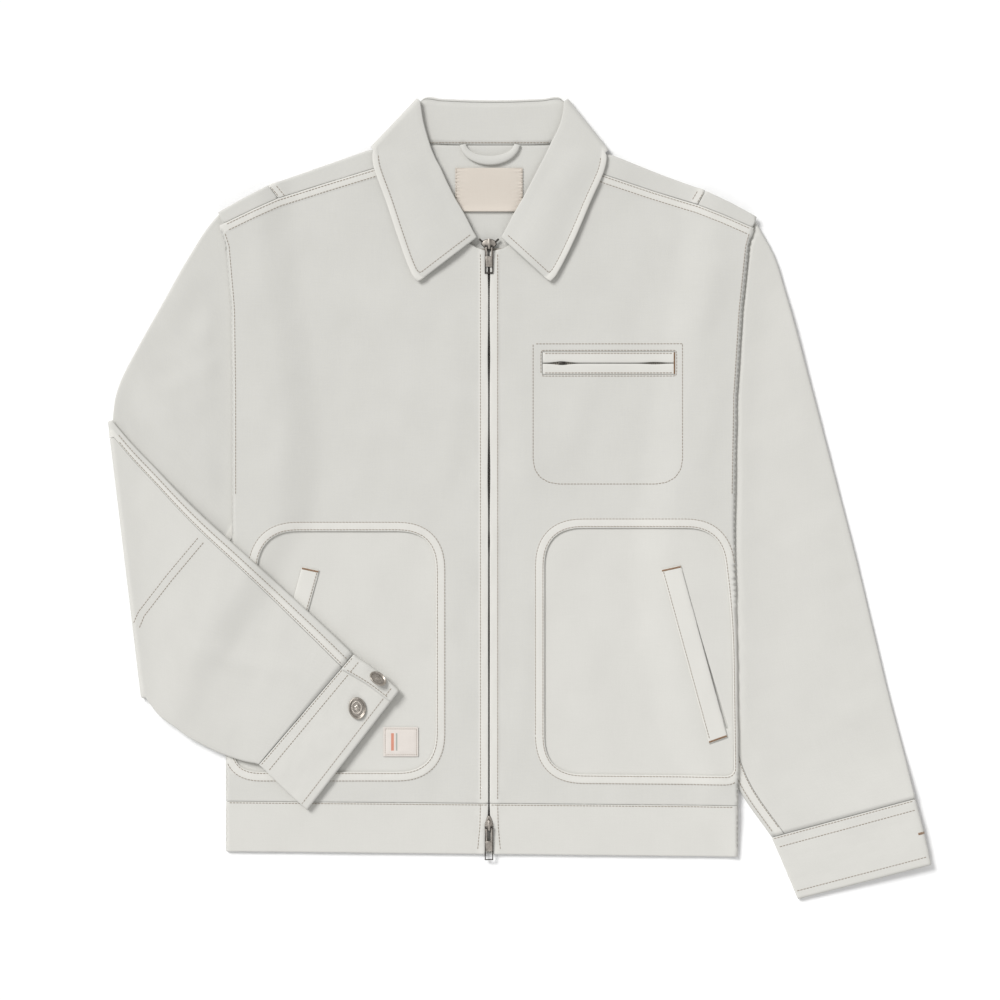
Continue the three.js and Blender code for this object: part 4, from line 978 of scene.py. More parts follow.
def felled(x, y, edge):
    """A felled seam: its folded allowance stands a little proud and puckers unevenly. It lies
    flat where the body or the forearm covers it."""
    past_forearm = FOREARM_AWAY[0] * (x - FOREARM_TOP[0]) + FOREARM_AWAY[1] * (y - FOREARM_TOP[1])
    shown = 1 - smoothstep(np.where(x < 0, past_forearm, y - BODY_COVERS), 2, 20)
    raised = (1 - smoothstep(edge, FELLED_WIDTH - 1.6, FELLED_WIDTH)) * shown
    pucker = 0.2 * ripple(x, y, 14, 21) * np.exp(-((edge / 11) ** 2)) * smoothstep(edge, 0, 2)
    # The second value is a share of painted highlight on the proud allowance.
    return 0.38 * raised + pucker * shown, 0.5 * raised


def beside_felled(x, y, edge):
    """The flat side of a felled seam, drawn in only by the sewing."""
    # Its flat side takes a faint painted highlight all over.
    return felled(x, y, edge + FELLED_WIDTH)[0], 0.12


# Left sleeve, laid straight beside the body; its cuff's outer edge rests on the buttons.
CUFF_LIFT = 5.0
STRAIGHT_SLEEVE = [
    ring(243, 584, 219, 566), ring(250, 572, 227, 556), ring(262, 550, 220, 524), ring(274, 512, 211, 480),
    ring(296, 431, 198, 398), ring(318, 347, 187, 312), ring(338, 270, 183, 232),
    ring(354, 203, 195, 165), ring(369, 141, 213, 101), ring(381, 95, 229, 60, 0.6, 0),
    ring(391.6, 51, 259.7, 15, CUFF_LIFT, 0),
]
LEFT_SLEEVE_CREASES = [
    (262, 520, 300, 440, 12, 1.2, 6),
    (244, 470, 300, 380, 20, 1.4, 8),
    (240, 400, 322, 330, 16, 1.3, -8),
    (250, 330, 330, 250, 22, 1.2, 8),
    (262, 250, 350, 190, 18, 1.1, -6),
    (250, 190, 300, 120, 22, 1.0, 8),
    (300, 140, 372, 110, 16, 0.9, 5),
]
UNDERSIDE_CREASES = [
    (255, 540, 300, 430, 18, 1.2, 8),
    (240, 410, 330, 350, 16, 1.0, -7),
    (235, 300, 335, 220, 20, 1.1, 8),
    (250, 150, 345, 110, 18, 0.8, 5),
    (-262, 540, -312, 460, 18, 1.1, -8),
    (-230, 460, -318, 400, 20, 1.2, 9),
    (-232, 330, -330, 380, 22, 1.1, 6),
]


def free_of_body(x, y, width=26):
    """0 under the body and 1 a little way outside its sides."""
    left = column(BODY_SIDES, "right", y) - x
    right = x - column(BODY_SIDES, "left", y)
    return smoothstep(np.maximum(left, right), 0, width)


def underside(x, y):
    return np.maximum(creases(UNDERSIDE_CREASES, x, y) * 0.6 + 0.1 + 0.1 * ripple(x, y, 60, 8), 0)


def straight_height(x, y, face, turn):
    """The left sleeve's height over the table; its face swells beside the body's edge."""
    free = free_of_body(x, y)
    top = creases(LEFT_SLEEVE_CREASES, x, y) + 0.5 + 0.45 * ripple(x, y, 80, 5) + 0.18 * ripple(x, y, 30, 6)
    past = x - column(BODY_SIDES, "left", y)
    swelling = 2.6 * np.exp(-((past / 17) ** 2)) * smoothstep(past, 0.4, 2.6) * smoothstep(y, 70, 150)
    return underside(x, y) * free + (np.maximum(top, 0) * free + swelling) * face


left_rings = fine_rings(STRAIGHT_SLEEVE, 4.0)
lay_loft("top_sleeve_left", left_rings, top_sleeve_section, straight_height, beside_felled)
lay_loft("under_sleeve_left", left_rings, under_sleeve_section, straight_height, felled)


# Right sleeve. The upper arm lies on the table, and the forearm is folded over it at the
# elbow and lies on the body, with its back side up.
ELBOW = ring(-346, 398, -315.5, 143)
UPPER_ARM = [
    ring(-248, 588, -222, 567), ring(-258, 576, -231, 556), ring(-276, 548, -223, 520),
    ring(-298, 509, -214, 462), ring(-320, 470, -206, 395), ring(-336, 440, -210, 320),
    ring(-343, 421, -247, 250), ring(-345, 408, -288, 187), ELBOW,
]
FOLD_HEIGHT = SLEEVE_HEIGHT + HALF_GAP
FOREARM_BASE = 2 * FOLD_HEIGHT
FOREARM_ENDS = [
    (-329, 378, -303, 127), (-306, 354, -288, 116), (-286, 333, -276, 107), (-270, 317, -265, 101),
    (-255, 303, -255, 96), (-238, 288, -246, 92), (-219, 271, -238, 89), (-196, 250, -229, 86),
    (-172, 228, -221, 84), (-148, 206, -215, 83), (-124.5, 183.5, -211.5, 82),
]
elbow_across = np.array([ELBOW[2] - ELBOW[0], ELBOW[3] - ELBOW[1]], float)
elbow_across /= np.linalg.norm(elbow_across)
elbow_away = np.array([elbow_across[1], -elbow_across[0]])


def fold_ring(turn):
    """A ring on its way round the elbow."""
    x, y = elbow_away * FOLD_HEIGHT * math.sin(turn)
    base = FOLD_HEIGHT * (1 - math.cos(turn))
    return ring(ELBOW[0] + x, ELBOW[1] + y, ELBOW[2] + x, ELBOW[3] + y, base, None, turn, -1)


forearm_rings = [fold_ring(math.pi), *[ring(*ends, FOREARM_BASE, None, math.pi) for ends in FOREARM_ENDS]]
folded_rings = np.vstack([
    fine_rings(UPPER_ARM, 4.0)[:-1],
    [fold_ring(turn) for turn in np.linspace(0, math.pi, 13)][:-1],
    fine_rings(forearm_rings, 3.5),
])
UPPER_ARM_CREASES = [
    (-268, 538, -300, 470, 13, 1.2, -5),
    (-246, 505, -300, 440, 16, 1.2, 6),
    (-236, 462, -322, 420, 11, 1.8, 6),
    (-334, 412, -238, 330, 22, 2.4, 6),
    (-240, 420, -306, 400, 13, 1.1, -4),
]
FOREARM_CREASES = [
    (-288, 200, -172, 164, 10, 2.0, -5),
    (-330, 330, -262, 262, 18, 1.2, 6),
    (-318, 232, -258, 196, 15, 1.1, 6),
    (-236, 244, -178, 206, 16, 0.7, -6),
    (-300, 150, -236, 106, 16, 1.1, -6),
    (-214, 160, -160, 128, 12, 0.8, 4),
]
ELBOW_SEAM = [(-266.5, 290.4), (-296, 255.5), (-322, 222), (-327.5, 209)]


def on_body(x, y):
    """How far the folded forearm stands on the body at a place."""
    return (rise(x, y, 1.0) + 0.9) * smoothstep(x, -322, -240)


def folded_height(x, y, face, turn):
    """The right sleeve's height; the upper arm lies flat where the forearm covers it."""
    down = (1 - math.cos(turn)) / 2
    free = free_of_body(x, y)
    fold_x = np.interp(y, [ELBOW[3], ELBOW[1]], [ELBOW[2], ELBOW[0]])
    above = y - (ELBOW[1] - 1.02 * (x - ELBOW[0]))
    clear = smoothstep(above, 10, 40) * smoothstep(x - fold_x, 0, 30)
    arm = creases(UPPER_ARM_CREASES, x, y) + 0.4 + 0.4 * ripple(x, y, 70, 9) + 0.15 * ripple(x, y, 28, 10)
    low = (1 - down) * underside(x, y) * free * clear
    if down == 0:
        return low + np.maximum(arm, 0) * clear * free * face
    past = smoothstep((x - ELBOW[0]) * -elbow_away[0] + (y - ELBOW[1]) * -elbow_away[1], 0, 26)
    fore = creases(FOREARM_CREASES, x, y) + 0.55 + 0.45 * ripple(x, y, 75, 12) + 0.2 * ripple(x, y, 30, 13)
    near = distance(np.stack([x, y], axis=1), ELBOW_SEAM, closed=False)
    fore = fore + 0.5 * np.exp(-((near / 6.0) ** 2))
    return low + on_body(x, y) * down + np.maximum(fore, 0) * past * (1 - face) * down


lay_loft("top_sleeve_right", folded_rings, top_sleeve_section, folded_height, felled)
lay_loft("under_sleeve_right", folded_rings, under_sleeve_section, folded_height, beside_felled)


# Cuffs. A band of doubled twill runs round each wrist, and its buttoned end laps over the other.
TAB = {"start": 18.0, "end": 13.5, "lap": CLOTH + GAP}
TAB_TURN = (SLEEVE_HEIGHT + TAB["lap"]) / 2


def cuff_section(width, along):
    tab_width = TAB["start"] + (TAB["end"] - TAB["start"]) * along
    top, low = SLEEVE_HEIGHT - CLOTH / 2, CLOTH / 2
    centre = width - SLEEVE_HEIGHT / 2
    lapped = TAB_TURN - CLOTH / 2
    tip = round_edge(TAB_TURN, -1, lapped, SLEEVE_HEIGHT - TAB_TURN, True)
    end = [(value, -TAB["lap"] + CLOTH / 2, 0, -1) for value in np.linspace(TAB_TURN, tab_width, 6)[1:]]
    return finish_section([
        *across_face(TAB_TURN + 1, centre, low, -1)[:-1],
        *round_edge(centre, 1, EDGE_TURN, SLEEVE_HEIGHT / 2, False),
        *across_face(centre, TAB_TURN, top, 1)[1:-1],
        *tip, *end,
    ], SLEEVE_HEIGHT)


FOLDED_CUFF = [ring(*ends, FOREARM_BASE, None, math.pi) for ends in (
    (-124.2, 183.2, -211.2, 81.7), (-104, 169, -189, 60), (-82, 150, -167, 40))]
STRAIGHT_CUFF = [ring(391.7, 50.6, 259.8, 14.6, CUFF_LIFT, 0), ring(400, 19, 273, -16, CUFF_LIFT, 0),
                 ring(406.5, -10, 284, -42, CUFF_LIFT, 0)]


def folded_cuff_height(x, y, face, turn):
    return on_body(x, y) + (0.3 + 0.3 * ripple(x, y, 40, 14)) * (1 - face)


def straight_cuff_height(x, y, face, turn):
    return (0.3 + 0.3 * ripple(x, y, 40, 15)) * face


# Each cuff takes a faint painted highlight all over.
lay_loft("cuff_right", fine_rings(FOLDED_CUFF, 2.4), cuff_section, folded_cuff_height,
         lambda x, y, edge: (0.15 * ripple(x, y, 13, 16), 0.2))
lay_loft("cuff_left", fine_rings(STRAIGHT_CUFF, 2.4), cuff_section, straight_cuff_height,
         lambda x, y, edge: (0.15 * ripple(x, y, 13, 17), 0.15))


# Collar. A stand joins the neck, and a fall rolls over it and lies on the fronts as two leaves.
# Rings run round the neck; each goes from the roll line to the fall's edge.
COLLAR_FOLD = 4.5
COLLAR_LIP = 1.9
COLLAR_ROLL = CLOTH + HALF_GAP
STAND_START = COLLAR_LIP + GAP
# Roll line x, y, fall's edge x, y, height, drop towards the edge, and the stand's width
COLLAR_RIGHT = [
    (-11, 566, -62.8, 526.4, 6.6, -1.2, 18), (-11.8, 567.3, -65.9, 525.8, 6.6, -1.2, 18),
    (-13.4, 570, -68.4, 528.6, 6.6, -1.2, 19), (-20, 583, -73, 537, 6.6, -1.2, 22),
    (-32, 604, -83, 564, 7.0, -0.8, 26),
    (-44, 629, -95, 600, 7.6, 0.6, 28), (-54, 651, -106, 631, 7.8, 0, 30),
    (-61, 677, -107, 643, 7.8, 0, 32),
]
COLLAR_LEFT = [
    (11, 566, 54.0, 526.7, 6.6, -1.2, 18), (11.8, 567.3, 56.7, 525.8, 6.6, -1.2, 18),
    (13.4, 570, 59.4, 528.4, 6.6, -1.2, 19), (20, 583, 65, 537, 6.6, -1.2, 22),
    (32, 604, 78, 563, 7.0, -0.8, 26),
    (45, 629, 93, 598, 7.6, 0.6, 28), (56, 651, 106, 628, 7.8, 0, 30),
    (67, 677, 108, 641, 7.8, 0, 32),
]
COLLAR_BACK = [(-60, 694.2, -92, 643), (-42, 693.6, -58, 639), (-15, 692.6, -20, 638),
               (22, 692.6, 26, 638), (48, 693.6, 62, 639), (66, 694.2, 94, 643)]
COLLAR_TURNS = {"right": (-63, 691, -104, 648, -1), "left": (69, 691, 105, 646, 1)}
COLLAR_TOP = 7.8
CORNER_REACH = 3.2
WHOLE_STAND = 34


def collar_turn(roll_x, roll_y, edge_x, edge_y, outward):
    """Rings that carry the collar round the end of the neck, from the leaf to the back."""
    radius = COLLAR_TOP - COLLAR_FOLD
    across = np.array([edge_x - roll_x, edge_y - roll_y], float)
    across /= np.linalg.norm(across)
    away = np.array([-across[1], across[0]]) * outward
    rows = []
    for turn in np.linspace(0, math.pi, 10):
        out = away * radius * math.sin(turn)
        tip = out + across * CORNER_REACH * (1 + math.cos(turn)) / 2
        base = COLLAR_FOLD + radius * math.cos(turn)
        rows.append(ring(roll_x + out[0], roll_y + out[1], edge_x + tip[0], edge_y + tip[1],
                         base, None, turn, -outward) + [WHOLE_STAND])
    return rows


def collar_leaf(rows):
    return [ring(x0, y0, x1, y1, base, base - drop) + [stand] for x0, y0, x1, y1, base, drop, stand in rows]


def fine_leaf(rows):
    leaf = fine_rings([row[:8] for row in rows], 2.6)
    given = np.array(sorted(rows, key=lambda row: row[1]), float)
    return np.column_stack([leaf, np.interp(leaf[:, 1], given[:, 1], given[:, 8])])


back_base = 2 * COLLAR_FOLD - COLLAR_TOP
right_turn = collar_turn(*COLLAR_TURNS["right"])
left_turn = collar_turn(*COLLAR_TURNS["left"])[::-1]
back_rings = [ring(x0, y0, x1, y1, back_base, None, math.pi) + [y0 - NECK_SEAM_Y - HALF_GAP]
              for x0, y0, x1, y1 in COLLAR_BACK]
back_fine = fine_rings([right_turn[-1][:8], *[row[:8] for row in back_rings], left_turn[0][:8]], 4.0)
back_fine = np.column_stack([back_fine, np.maximum(back_fine[:, 1] - NECK_SEAM_Y - HALF_GAP, 30)])
collar_rings = np.vstack([
    fine_leaf(collar_leaf(COLLAR_RIGHT) + right_turn[:1])[:-1], right_turn[:-1],
    back_fine[:-1], left_turn[:-1],
    fine_leaf(left_turn[-1:] + collar_leaf(COLLAR_LEFT[::-1])),
])


def fall_section(width, along):
    middle = CLOTH - COLLAR_ROLL
    radius = COLLAR_ROLL - CLOTH / 2
    points = [(value, middle - radius, 0, -1) for value in np.linspace(COLLAR_LIP, COLLAR_ROLL, 4)[:-1]]
    points += round_edge(COLLAR_ROLL, -1, radius, middle, False)
    top = CLOTH / 2
    edge = [width - d for d in (9.5, 8, 7, 6.2, 5.4, 4.4, 3.2, 2.0, 1.0, 0.4, 0)]
    inner = np.linspace(COLLAR_ROLL, edge[0], 10)[1:-1]
    points += [(value, top, 0, 1) for value in [*inner, *edge]]
    return finish_section(points, 1.0)


def stand_section(width, along):
    end = collar_rings[round(along * (len(collar_rings) - 1)), 8]
    level = CLOTH - 2 * COLLAR_ROLL + CLOTH / 2
    return finish_section([(value, level, 0, -1) for value in np.linspace(STAND_START, end, 9)], 1.0)


def collar_height(x, y, face, turn):
    front = (1 - smoothstep(y, 636, 650)) * (0.5 + 0.5 * math.cos(turn))
    leaf = front_rise(x, y) + back_rise(x, y)
    return (leaf + 0.25 + 0.25 * ripple(x, y, 45, 31)) * front


def collar_swell(x, y, edge):
    raised = (1 - smoothstep(edge, 5.0, 6.1)) * (np.arange(len(edge)) > len(edge) // 2)
    raised = raised * (1 - smoothstep(y, 641, 652))
    allowance = 0.6 * raised - 0.45 * (1 - smoothstep(edge, 0, 1.6))
    crown = 1.6 * smoothstep(edge, 6, 28) * smoothstep(650 - y, 0, 30)
    # The second value paints a highlight on the raised edge band.
    return allowance + crown + 0.12 * ripple(x, y, 12, 32) * np.exp(-((edge / 9) ** 2)), 0.6 * raised


lay_loft("collar_fall", collar_rings[:, :8], fall_section, collar_height, collar_swell)
lay_loft("collar_stand", collar_rings[:, :8], stand_section, collar_height)


# Sewing. Lockstitches of taupe thread are laid on the finished cloth, each one sunk at its ends;
# rows come in pairs beside every felled seam, with the allowance standing proud between them.
def thread_material(name, colour):
    made, shader, start = new_material(name, 0.7)
    place = start.node("ShaderNodeTexCoord", output=3)
    tone = place.noise(900, 2.0)
    dark = tuple(0.72 * value for value in colour)
    plug_in(shader, "Base Color", tone.mix((*dark, 1), (*colour, 1)))
    height = place.noise(2600, 1.0)
    plug_in(shader, "Normal", height.bump(0.4, 0.0002))
    return made


taupe_thread = thread_material("taupe_thread", (0.400, 0.345, 0.285))
brown_thread = thread_material("brown_thread", (0.330, 0.195, 0.110))


def surface_tree(names):
    """One search tree over the faces of several pieces."""
    points, faces = [], []
    count = 0
    for name in names:
        own_points, own_faces = SURFACES[name]
        points.extend(Vector(p) for p in own_points)
        faces.extend(tuple(int(k) + count for k in face) for face in own_faces)
        count += len(own_points)
    return BVHTree.FromPolygons(points, faces)


def on_surface(tree, x, y, below):
    """The place and normal of the cloth seen at x and y from above, or from below the table."""
    start, way = Vector((x, y, -30 if below else 90)), Vector((0, 0, 1 if below else -1))
    place, normal, _, _ = tree.ray_cast(start, way)
    if place is None:
        return None
    return np.array(place), np.array(normal) * (1 if normal.dot(-way) > 0 else -1)


STITCH = {"length": 2.75, "pitch": 3.0, "half_width": 0.36, "sides": 6, "sunk": 0.22}


def stitch_mesh(ends):
    """Little bars of thread between pairs of points, each with its normal."""
    points, faces = [], []
    sides = STITCH["sides"]
    for first, last, normal, half in ends:
        run = last - first
        length = np.linalg.norm(run)
        run = run / length
        normal = normal - run * normal.dot(run)
        normal = normal / np.linalg.norm(normal)
        across = np.cross(run, normal)
        start = len(points)
        points.append(first - normal * STITCH["sunk"])
        for share in (0.16, 0.5, 0.84):
            middle = first + run * length * share + normal * (0.14 if share == 0.5 else 0.06)
            for angle in (2 * math.pi * k / sides for k in range(sides)):
                side = across * half * math.cos(angle)
                points.append(middle + side + normal * half * 0.8 * math.sin(angle))
        points.append(last - normal * STITCH["sunk"])
        end = start + 3 * sides + 1
        for k in range(sides):
            n = (k + 1) % sides
            faces.append((start, start + 1 + n, start + 1 + k))
            for row in (0, 1):
                low = start + 1 + row * sides
                faces.append((low + k, low + n, low + sides + n, low + sides + k))
            faces.append((end, end - sides + k, end - sides + n))
    return np.array(points), faces


STEEPEST = 1.2  # a stitch that climbs more than this would leave the cloth


def sew(name, rows, on, below=False, length=STITCH["length"], pitch=STITCH["pitch"],
        half=STITCH["half_width"]):
    """Sews rows of stitches, given as lines seen from above, onto the named surfaces."""
    tree = surface_tree(on)
    ends = []
    for line in rows:
        places = resampled(line, 0.35, closed=False)
        run = np.concatenate([[0], np.cumsum(np.linalg.norm(np.diff(places, axis=0), axis=1))])
        at = 0.4
        while at + length < run[-1]:
            a = [np.interp(at, run, places[:, k]) for k in (0, 1)]
            b = [np.interp(at + length, run, places[:, k]) for k in (0, 1)]
            first, last = on_surface(tree, *a, below), on_surface(tree, *b, below)
            if first and last and abs(first[0][2] - last[0][2]) < STEEPEST:
                ends.append((first[0], last[0], first[1] + last[1], half))
            at += pitch
    make_mesh(name, *stitch_mesh(ends), None, taupe_thread, slot=None)


TACK_PITCH = 0.75


def tack(name, lines, on, width=2.6):
    """Bartacks: short close bars of brown thread across a line."""
    tree = surface_tree(on)
    ends = []
    for (x0, y0), (x1, y1) in lines:
        run = np.array([x1 - x0, y1 - y0], float)
        length = np.linalg.norm(run)
        run /= length
        side = np.array([-run[1], run[0]]) * width / 2
        count = int(length / TACK_PITCH)
        for k in range(count + 1):
            middle = np.array([x0, y0]) + run * (length * k / count)
            first = on_surface(tree, *(middle - side), False)
            last = on_surface(tree, *(middle + side), False)
            if first and last:
                ends.append((first[0], last[0], first[1] + last[1], STITCH["half_width"]))
    make_mesh(name, *stitch_mesh(ends), None, brown_thread, slot=None)


def beside(line, distance_off):
    """A line moved sideways, to the left of its run where the distance is positive."""
    line = np.array(line, float)
    run = np.gradient(line, axis=0)
    run /= np.linalg.norm(run, axis=1)[:, None]
    return line + np.stack([-run[:, 1], run[:, 0]], axis=1) * distance_off


FRONTS = ["front_right_twill", "front_left_twill"]
CHEST_POCKET = [(40.5, 468.3), (40.5, 362), (42, 353), (47, 345.5), (55, 341), (64, 339.5), (154, 339.5),
                (163, 341), (171, 345.5), (176, 353), (177.6, 362), (177.6, 468.3), (40.5, 468.3)]
HEMS = ["hem_front_right_twill", "hem_front_left_twill"]
PLACKET = 7.9
ARMHOLE = np.arange(330, 572, 6.0)
for name, side in SIDES:
    seam = [(x, y) for _, _, x, y in SHOULDERS[name]]
    rows = [
        [(side * PLACKET, 551), (side * PLACKET, 49)],
        grown(openings[name], ALLOWANCE), grown(openings[name], 1.5),
        beside(seam, -side * 1.9), beside(seam, -side * 7.4),
        list(zip(column(BODY_SIDES, name, ARMHOLE) - side * 3.4, ARMHOLE)),
    ]
    if side > 0:
        rows.append(CHEST_POCKET)
    sew(f"front_{name}_stitches", rows, FRONTS)
    hem_end = column(BODY_SIDES, name, 46) - side * 2.5
    hem_rows = [
        [(side * PLACKET, 46), (side * 8.4, 24), (side * 10.6, 2)],
        [(x, hem_seam(x) - 1.4) for x in np.linspace(side * 1.5, hem_end, 60)],
    ]
    sew(f"hem_front_{name}_stitches", hem_rows, HEMS)

    outer_top, inner_top, inner_low, outer_low = (np.array(p, float) for p in WELTS[name])
    down = (inner_low - inner_top) / np.linalg.norm(inner_low - inner_top)
    over = (outer_top - inner_top) / np.linalg.norm(outer_top - inner_top)
    row = [tuple(inner_top + over * 1.6 + down * 2), tuple(inner_low + over * 1.6 - down * 2)]
    sew(f"welt_{name}_stitches", [row], [f"welt_{name}_twill"])
    tacks = [(tuple(inner_top + down * 1.4), tuple(outer_top + down * 1.4)),
             (tuple(inner_low - down * 1.4), tuple(outer_low - down * 1.4))]
    tack(f"welt_{name}_bartacks", tacks, [f"welt_{name}_twill"], 2.2)

CHEST = ["front_left_twill", "chest_welt_upper_twill", "chest_welt_lower_twill"]
left, right, bottom, top = CHEST_WINDOW.values()
sew("chest_welt_stitches", [[(left + 2, y), (right - 2, y)] for y in (top - 1.6, bottom + 1.6)], CHEST)
sew("chest_window_stitches", [grown(rectangle(**CHEST_WINDOW), 1.3)], CHEST)
tack("chest_bartacks", [((x, bottom + 1), (x, top - 1)) for x in (left + 0.8, right - 0.8)], CHEST, 1.6)

BACKS = ["back_centre_twill", "side_back_right_twill", "side_back_left_twill", "hem_back_twill"]
back_rows, turned_rows = [], []
for name, side in SIDES:
    seam = [(BACK_SEAM[name], hem_seam(BACK_SEAM[name])), row_start(name, SIDE_SEAM_ROW, 0)]
    back_rows += [beside(seam, -side * 1.3), beside(seam, -side * 7.6)]
    fold_x, fold_y, seam_x, seam_y = SHOULDERS[name][SIDE_SEAM_ROW]
    turned_rows += [[(fold_x - side * off, fold_y - 0.3), (seam_x - side * off, seam_y + 0.8)]
                    for off in (1.3, 7.4)]
back_rows.append([(x, hem_seam(x) - 1.4) for x in np.linspace(-236, 223, 80)])
sew("back_stitches", back_rows, BACKS, below=True)
sew("shoulder_stitches", turned_rows, BACKS[:3])


def along_rings(rings, off, from_inner=False):
    """The line at a distance from one fold of a sleeve, along its rings."""
    outer, inner = rings[:, 0:2], rings[:, 2:4]
    across = (inner - outer) / np.linalg.norm(inner - outer, axis=1)[:, None]
    return inner - across * off if from_inner else outer + across * off


BACK_ROWS = (14.1, 7.4)
INNER_ROWS = (11.0, 3.6)
LEFT_SLEEVE = ["top_sleeve_left_twill", "under_sleeve_left_twill"]
RIGHT_SLEEVE = ["top_sleeve_right_twill", "under_sleeve_right_twill"]
sew("sleeve_left_stitches", [along_rings(left_rings, off, True)[:-1] for off in INNER_ROWS], LEFT_SLEEVE)
sew("sleeve_left_back_stitches", [along_rings(left_rings, off)[:-1] for off in BACK_ROWS], LEFT_SLEEVE,
    below=True)
arm_rings = fine_rings(UPPER_ARM, 4.0)
fore_rings = folded_rings[len(arm_rings) + 13:]
fore_rows = [along_rings(fore_rings, off) for off in BACK_ROWS]
elbow_rows = [ELBOW_SEAM, beside(ELBOW_SEAM, 6.6)]
sew("sleeve_right_stitches", [*fore_rows, *elbow_rows], RIGHT_SLEEVE)
sew("sleeve_right_back_stitches", [along_rings(arm_rings, off) for off in BACK_ROWS], RIGHT_SLEEVE,
    below=True)

CUFF_ROWS = (0.025, 0.165, 0.875)  # shares of the cuff's depth, from the sleeve
for name, table, below in (("right", FOLDED_CUFF, False), ("left", STRAIGHT_CUFF, False)):
    rings = fine_rings(table, 2.4)
    rows = []
    for share in CUFF_ROWS:
        low, past = divmod(share * (len(rings) - 1), 1)
        place = rings[int(low)] + (rings[int(low) + 1] - rings[int(low)]) * past
        rows.append([tuple(place[0:2]), tuple(place[2:4])])
    if name == "right":
        tab_off = np.linspace(TAB["start"], TAB["end"], len(rings)) - 2.2
        rows.append(along_rings(rings, tab_off[:, None])[2:-2])
    sew(f"cuff_{name}_stitches", rows, [f"cuff_{name}_twill"], below)

COLLAR_ALLOWANCE = 5.6
LEAF_TIPS = {1: (-66.0, 524.0), -1: (57.0, 524.0)}  # by side: 1 is the wearer's right leaf
leaf_edge = [tuple(p) for p in collar_rings[:, 2:4][collar_rings[:, 6] == 0]]
split = int(np.argmax([x > 0 for x, _ in leaf_edge]))
collar_rows = []
for part, side in ((leaf_edge[:split], 1), (leaf_edge[split:][::-1], -1)):
    part = [p for p in part if p[1] < 650]
    edge = beside(part, -side * COLLAR_ALLOWANCE)
    roll, tip = np.array([-side * 11, 566.0]), np.array(LEAF_TIPS[side])
    front = (tip - roll) / np.linalg.norm(tip - roll)
    inward = np.array([-front[1], front[0]]) * -side
    corner = tip + (inward - front) * COLLAR_ALLOWANCE
    collar_rows.append([tuple(roll + inward * COLLAR_ALLOWANCE + front * 3), tuple(corner - front * 2),
                        *[tuple(p) for p in edge if p[1] > corner[1] + 3]])
sew("collar_stitches", collar_rows, ["collar_fall_twill"])
sew("collar_stand_stitches", [[(x, NECK_SEAM_Y + 2.3) for x in np.linspace(-56, 58, 40)]],
    ["collar_stand_twill"])
tack("cuff_left_buttonhole", [((394.4, 18.2), (400.2, 19.6))], ["cuff_left_twill"], 2.8)


# Neck label. A blank strip of cream satin, folded under at both ends and sewn there, so its ends
# pucker and its lower edge stands a little off the cloth.
satin = cloth_material("cream_satin", (0.712, 0.657, 0.589), (0.655, 0.591, 0.520), rib=0.4,
                       rib_depth=0.02)
LABEL = {"left": -31, "right": 31, "bottom": 590, "top": 630}


def label_puff(flat, edge):
    """Puckers that run in from the sewn ends, and the loose lower edge."""
    x, y = flat[:, 0], flat[:, 1]
    end = np.minimum(x - LABEL["left"], LABEL["right"] - x)
    reach = 7 + 3 * ripple(np.zeros_like(y), y, 7, 41)
    waves = np.sin(2 * math.pi * (y + 0.8 * ripple(x, y, 9, 42)) / 2.9)
    pucker = 0.8 * waves * np.exp(-((end / reach) ** 2))
    loose = 1.5 * np.exp(-(((y - LABEL["bottom"]) / 3.5) ** 2)) * smoothstep(end, 1, 14)
    return pucker + loose + 0.5 * smoothstep(end, 0, 16), 0.0


lay_panel("neck_label", rectangle(**LABEL), laid("pocket", 0), step=1.0, grid=1.8, thickness=0.7,
          profile=label_puff, cloth="satin", material=satin, slot="label", rows=(0.4, 1.0, 1.9, 3.0))
sew("neck_label_stitches", [[(x, y) for y in np.linspace(590.8, 629.2, 30)] for x in (-30.1, 30.1)],
    ["neck_label_satin"], length=1.5, pitch=1.9, half=0.22)


# Hanger loop. A narrow strip of the twill, folded into a flat tube, that hangs in a shallow curve
# from two points of the neck seam.
LOOP_LINE = [(-24, 651.5), (-20.5, 632), (22, 632), (26, 651.5)]
LOOP_STEPS = 44
LOOP_SIDES = 20
points, faces, uv = [], [], []
curve = np.array(LOOP_LINE, float)
loop_length = 0.0
before = None
for k in range(LOOP_STEPS + 1):
    t = k / LOOP_STEPS
    weights = np.array([(1 - t) ** 3, 3 * t * (1 - t) ** 2, 3 * t * t * (1 - t), t ** 3])
    slopes = np.array([-3 * (1 - t) ** 2, 3 * (1 - t) ** 2 - 6 * t * (1 - t),
                       6 * t * (1 - t) - 3 * t * t, 3 * t * t])
    place, run = weights @ curve, slopes @ curve
    run /= np.linalg.norm(run)
    side = np.array([-run[1], run[0]])
    if before is not None:
        loop_length += np.linalg.norm(place - before)
    before = place
    half = 2.9 + 1.3 * math.sin(math.pi * t) ** 1.5
    height = float(lift(*place)) + 3.3 + 1.2 * math.sin(math.pi * t)
    for wall in (0.0, 1.0):
        for turn in (2 * math.pi * j / LOOP_SIDES for j in range(LOOP_SIDES)):
            across, up = math.cos(turn), math.sin(turn)
            across = math.copysign(abs(across) ** 0.75, across)
            dent = 0.35 * math.exp(-(((across - 0.62) / 0.16) ** 2)) * (up > 0) * (1 - wall)
            points.append((*(place + side * (half - wall) * across), height + (1.55 - wall) * up - dent))
            uv.append((half * across + 9 * (up < 0), loop_length))
ahead = 2 * LOOP_SIDES
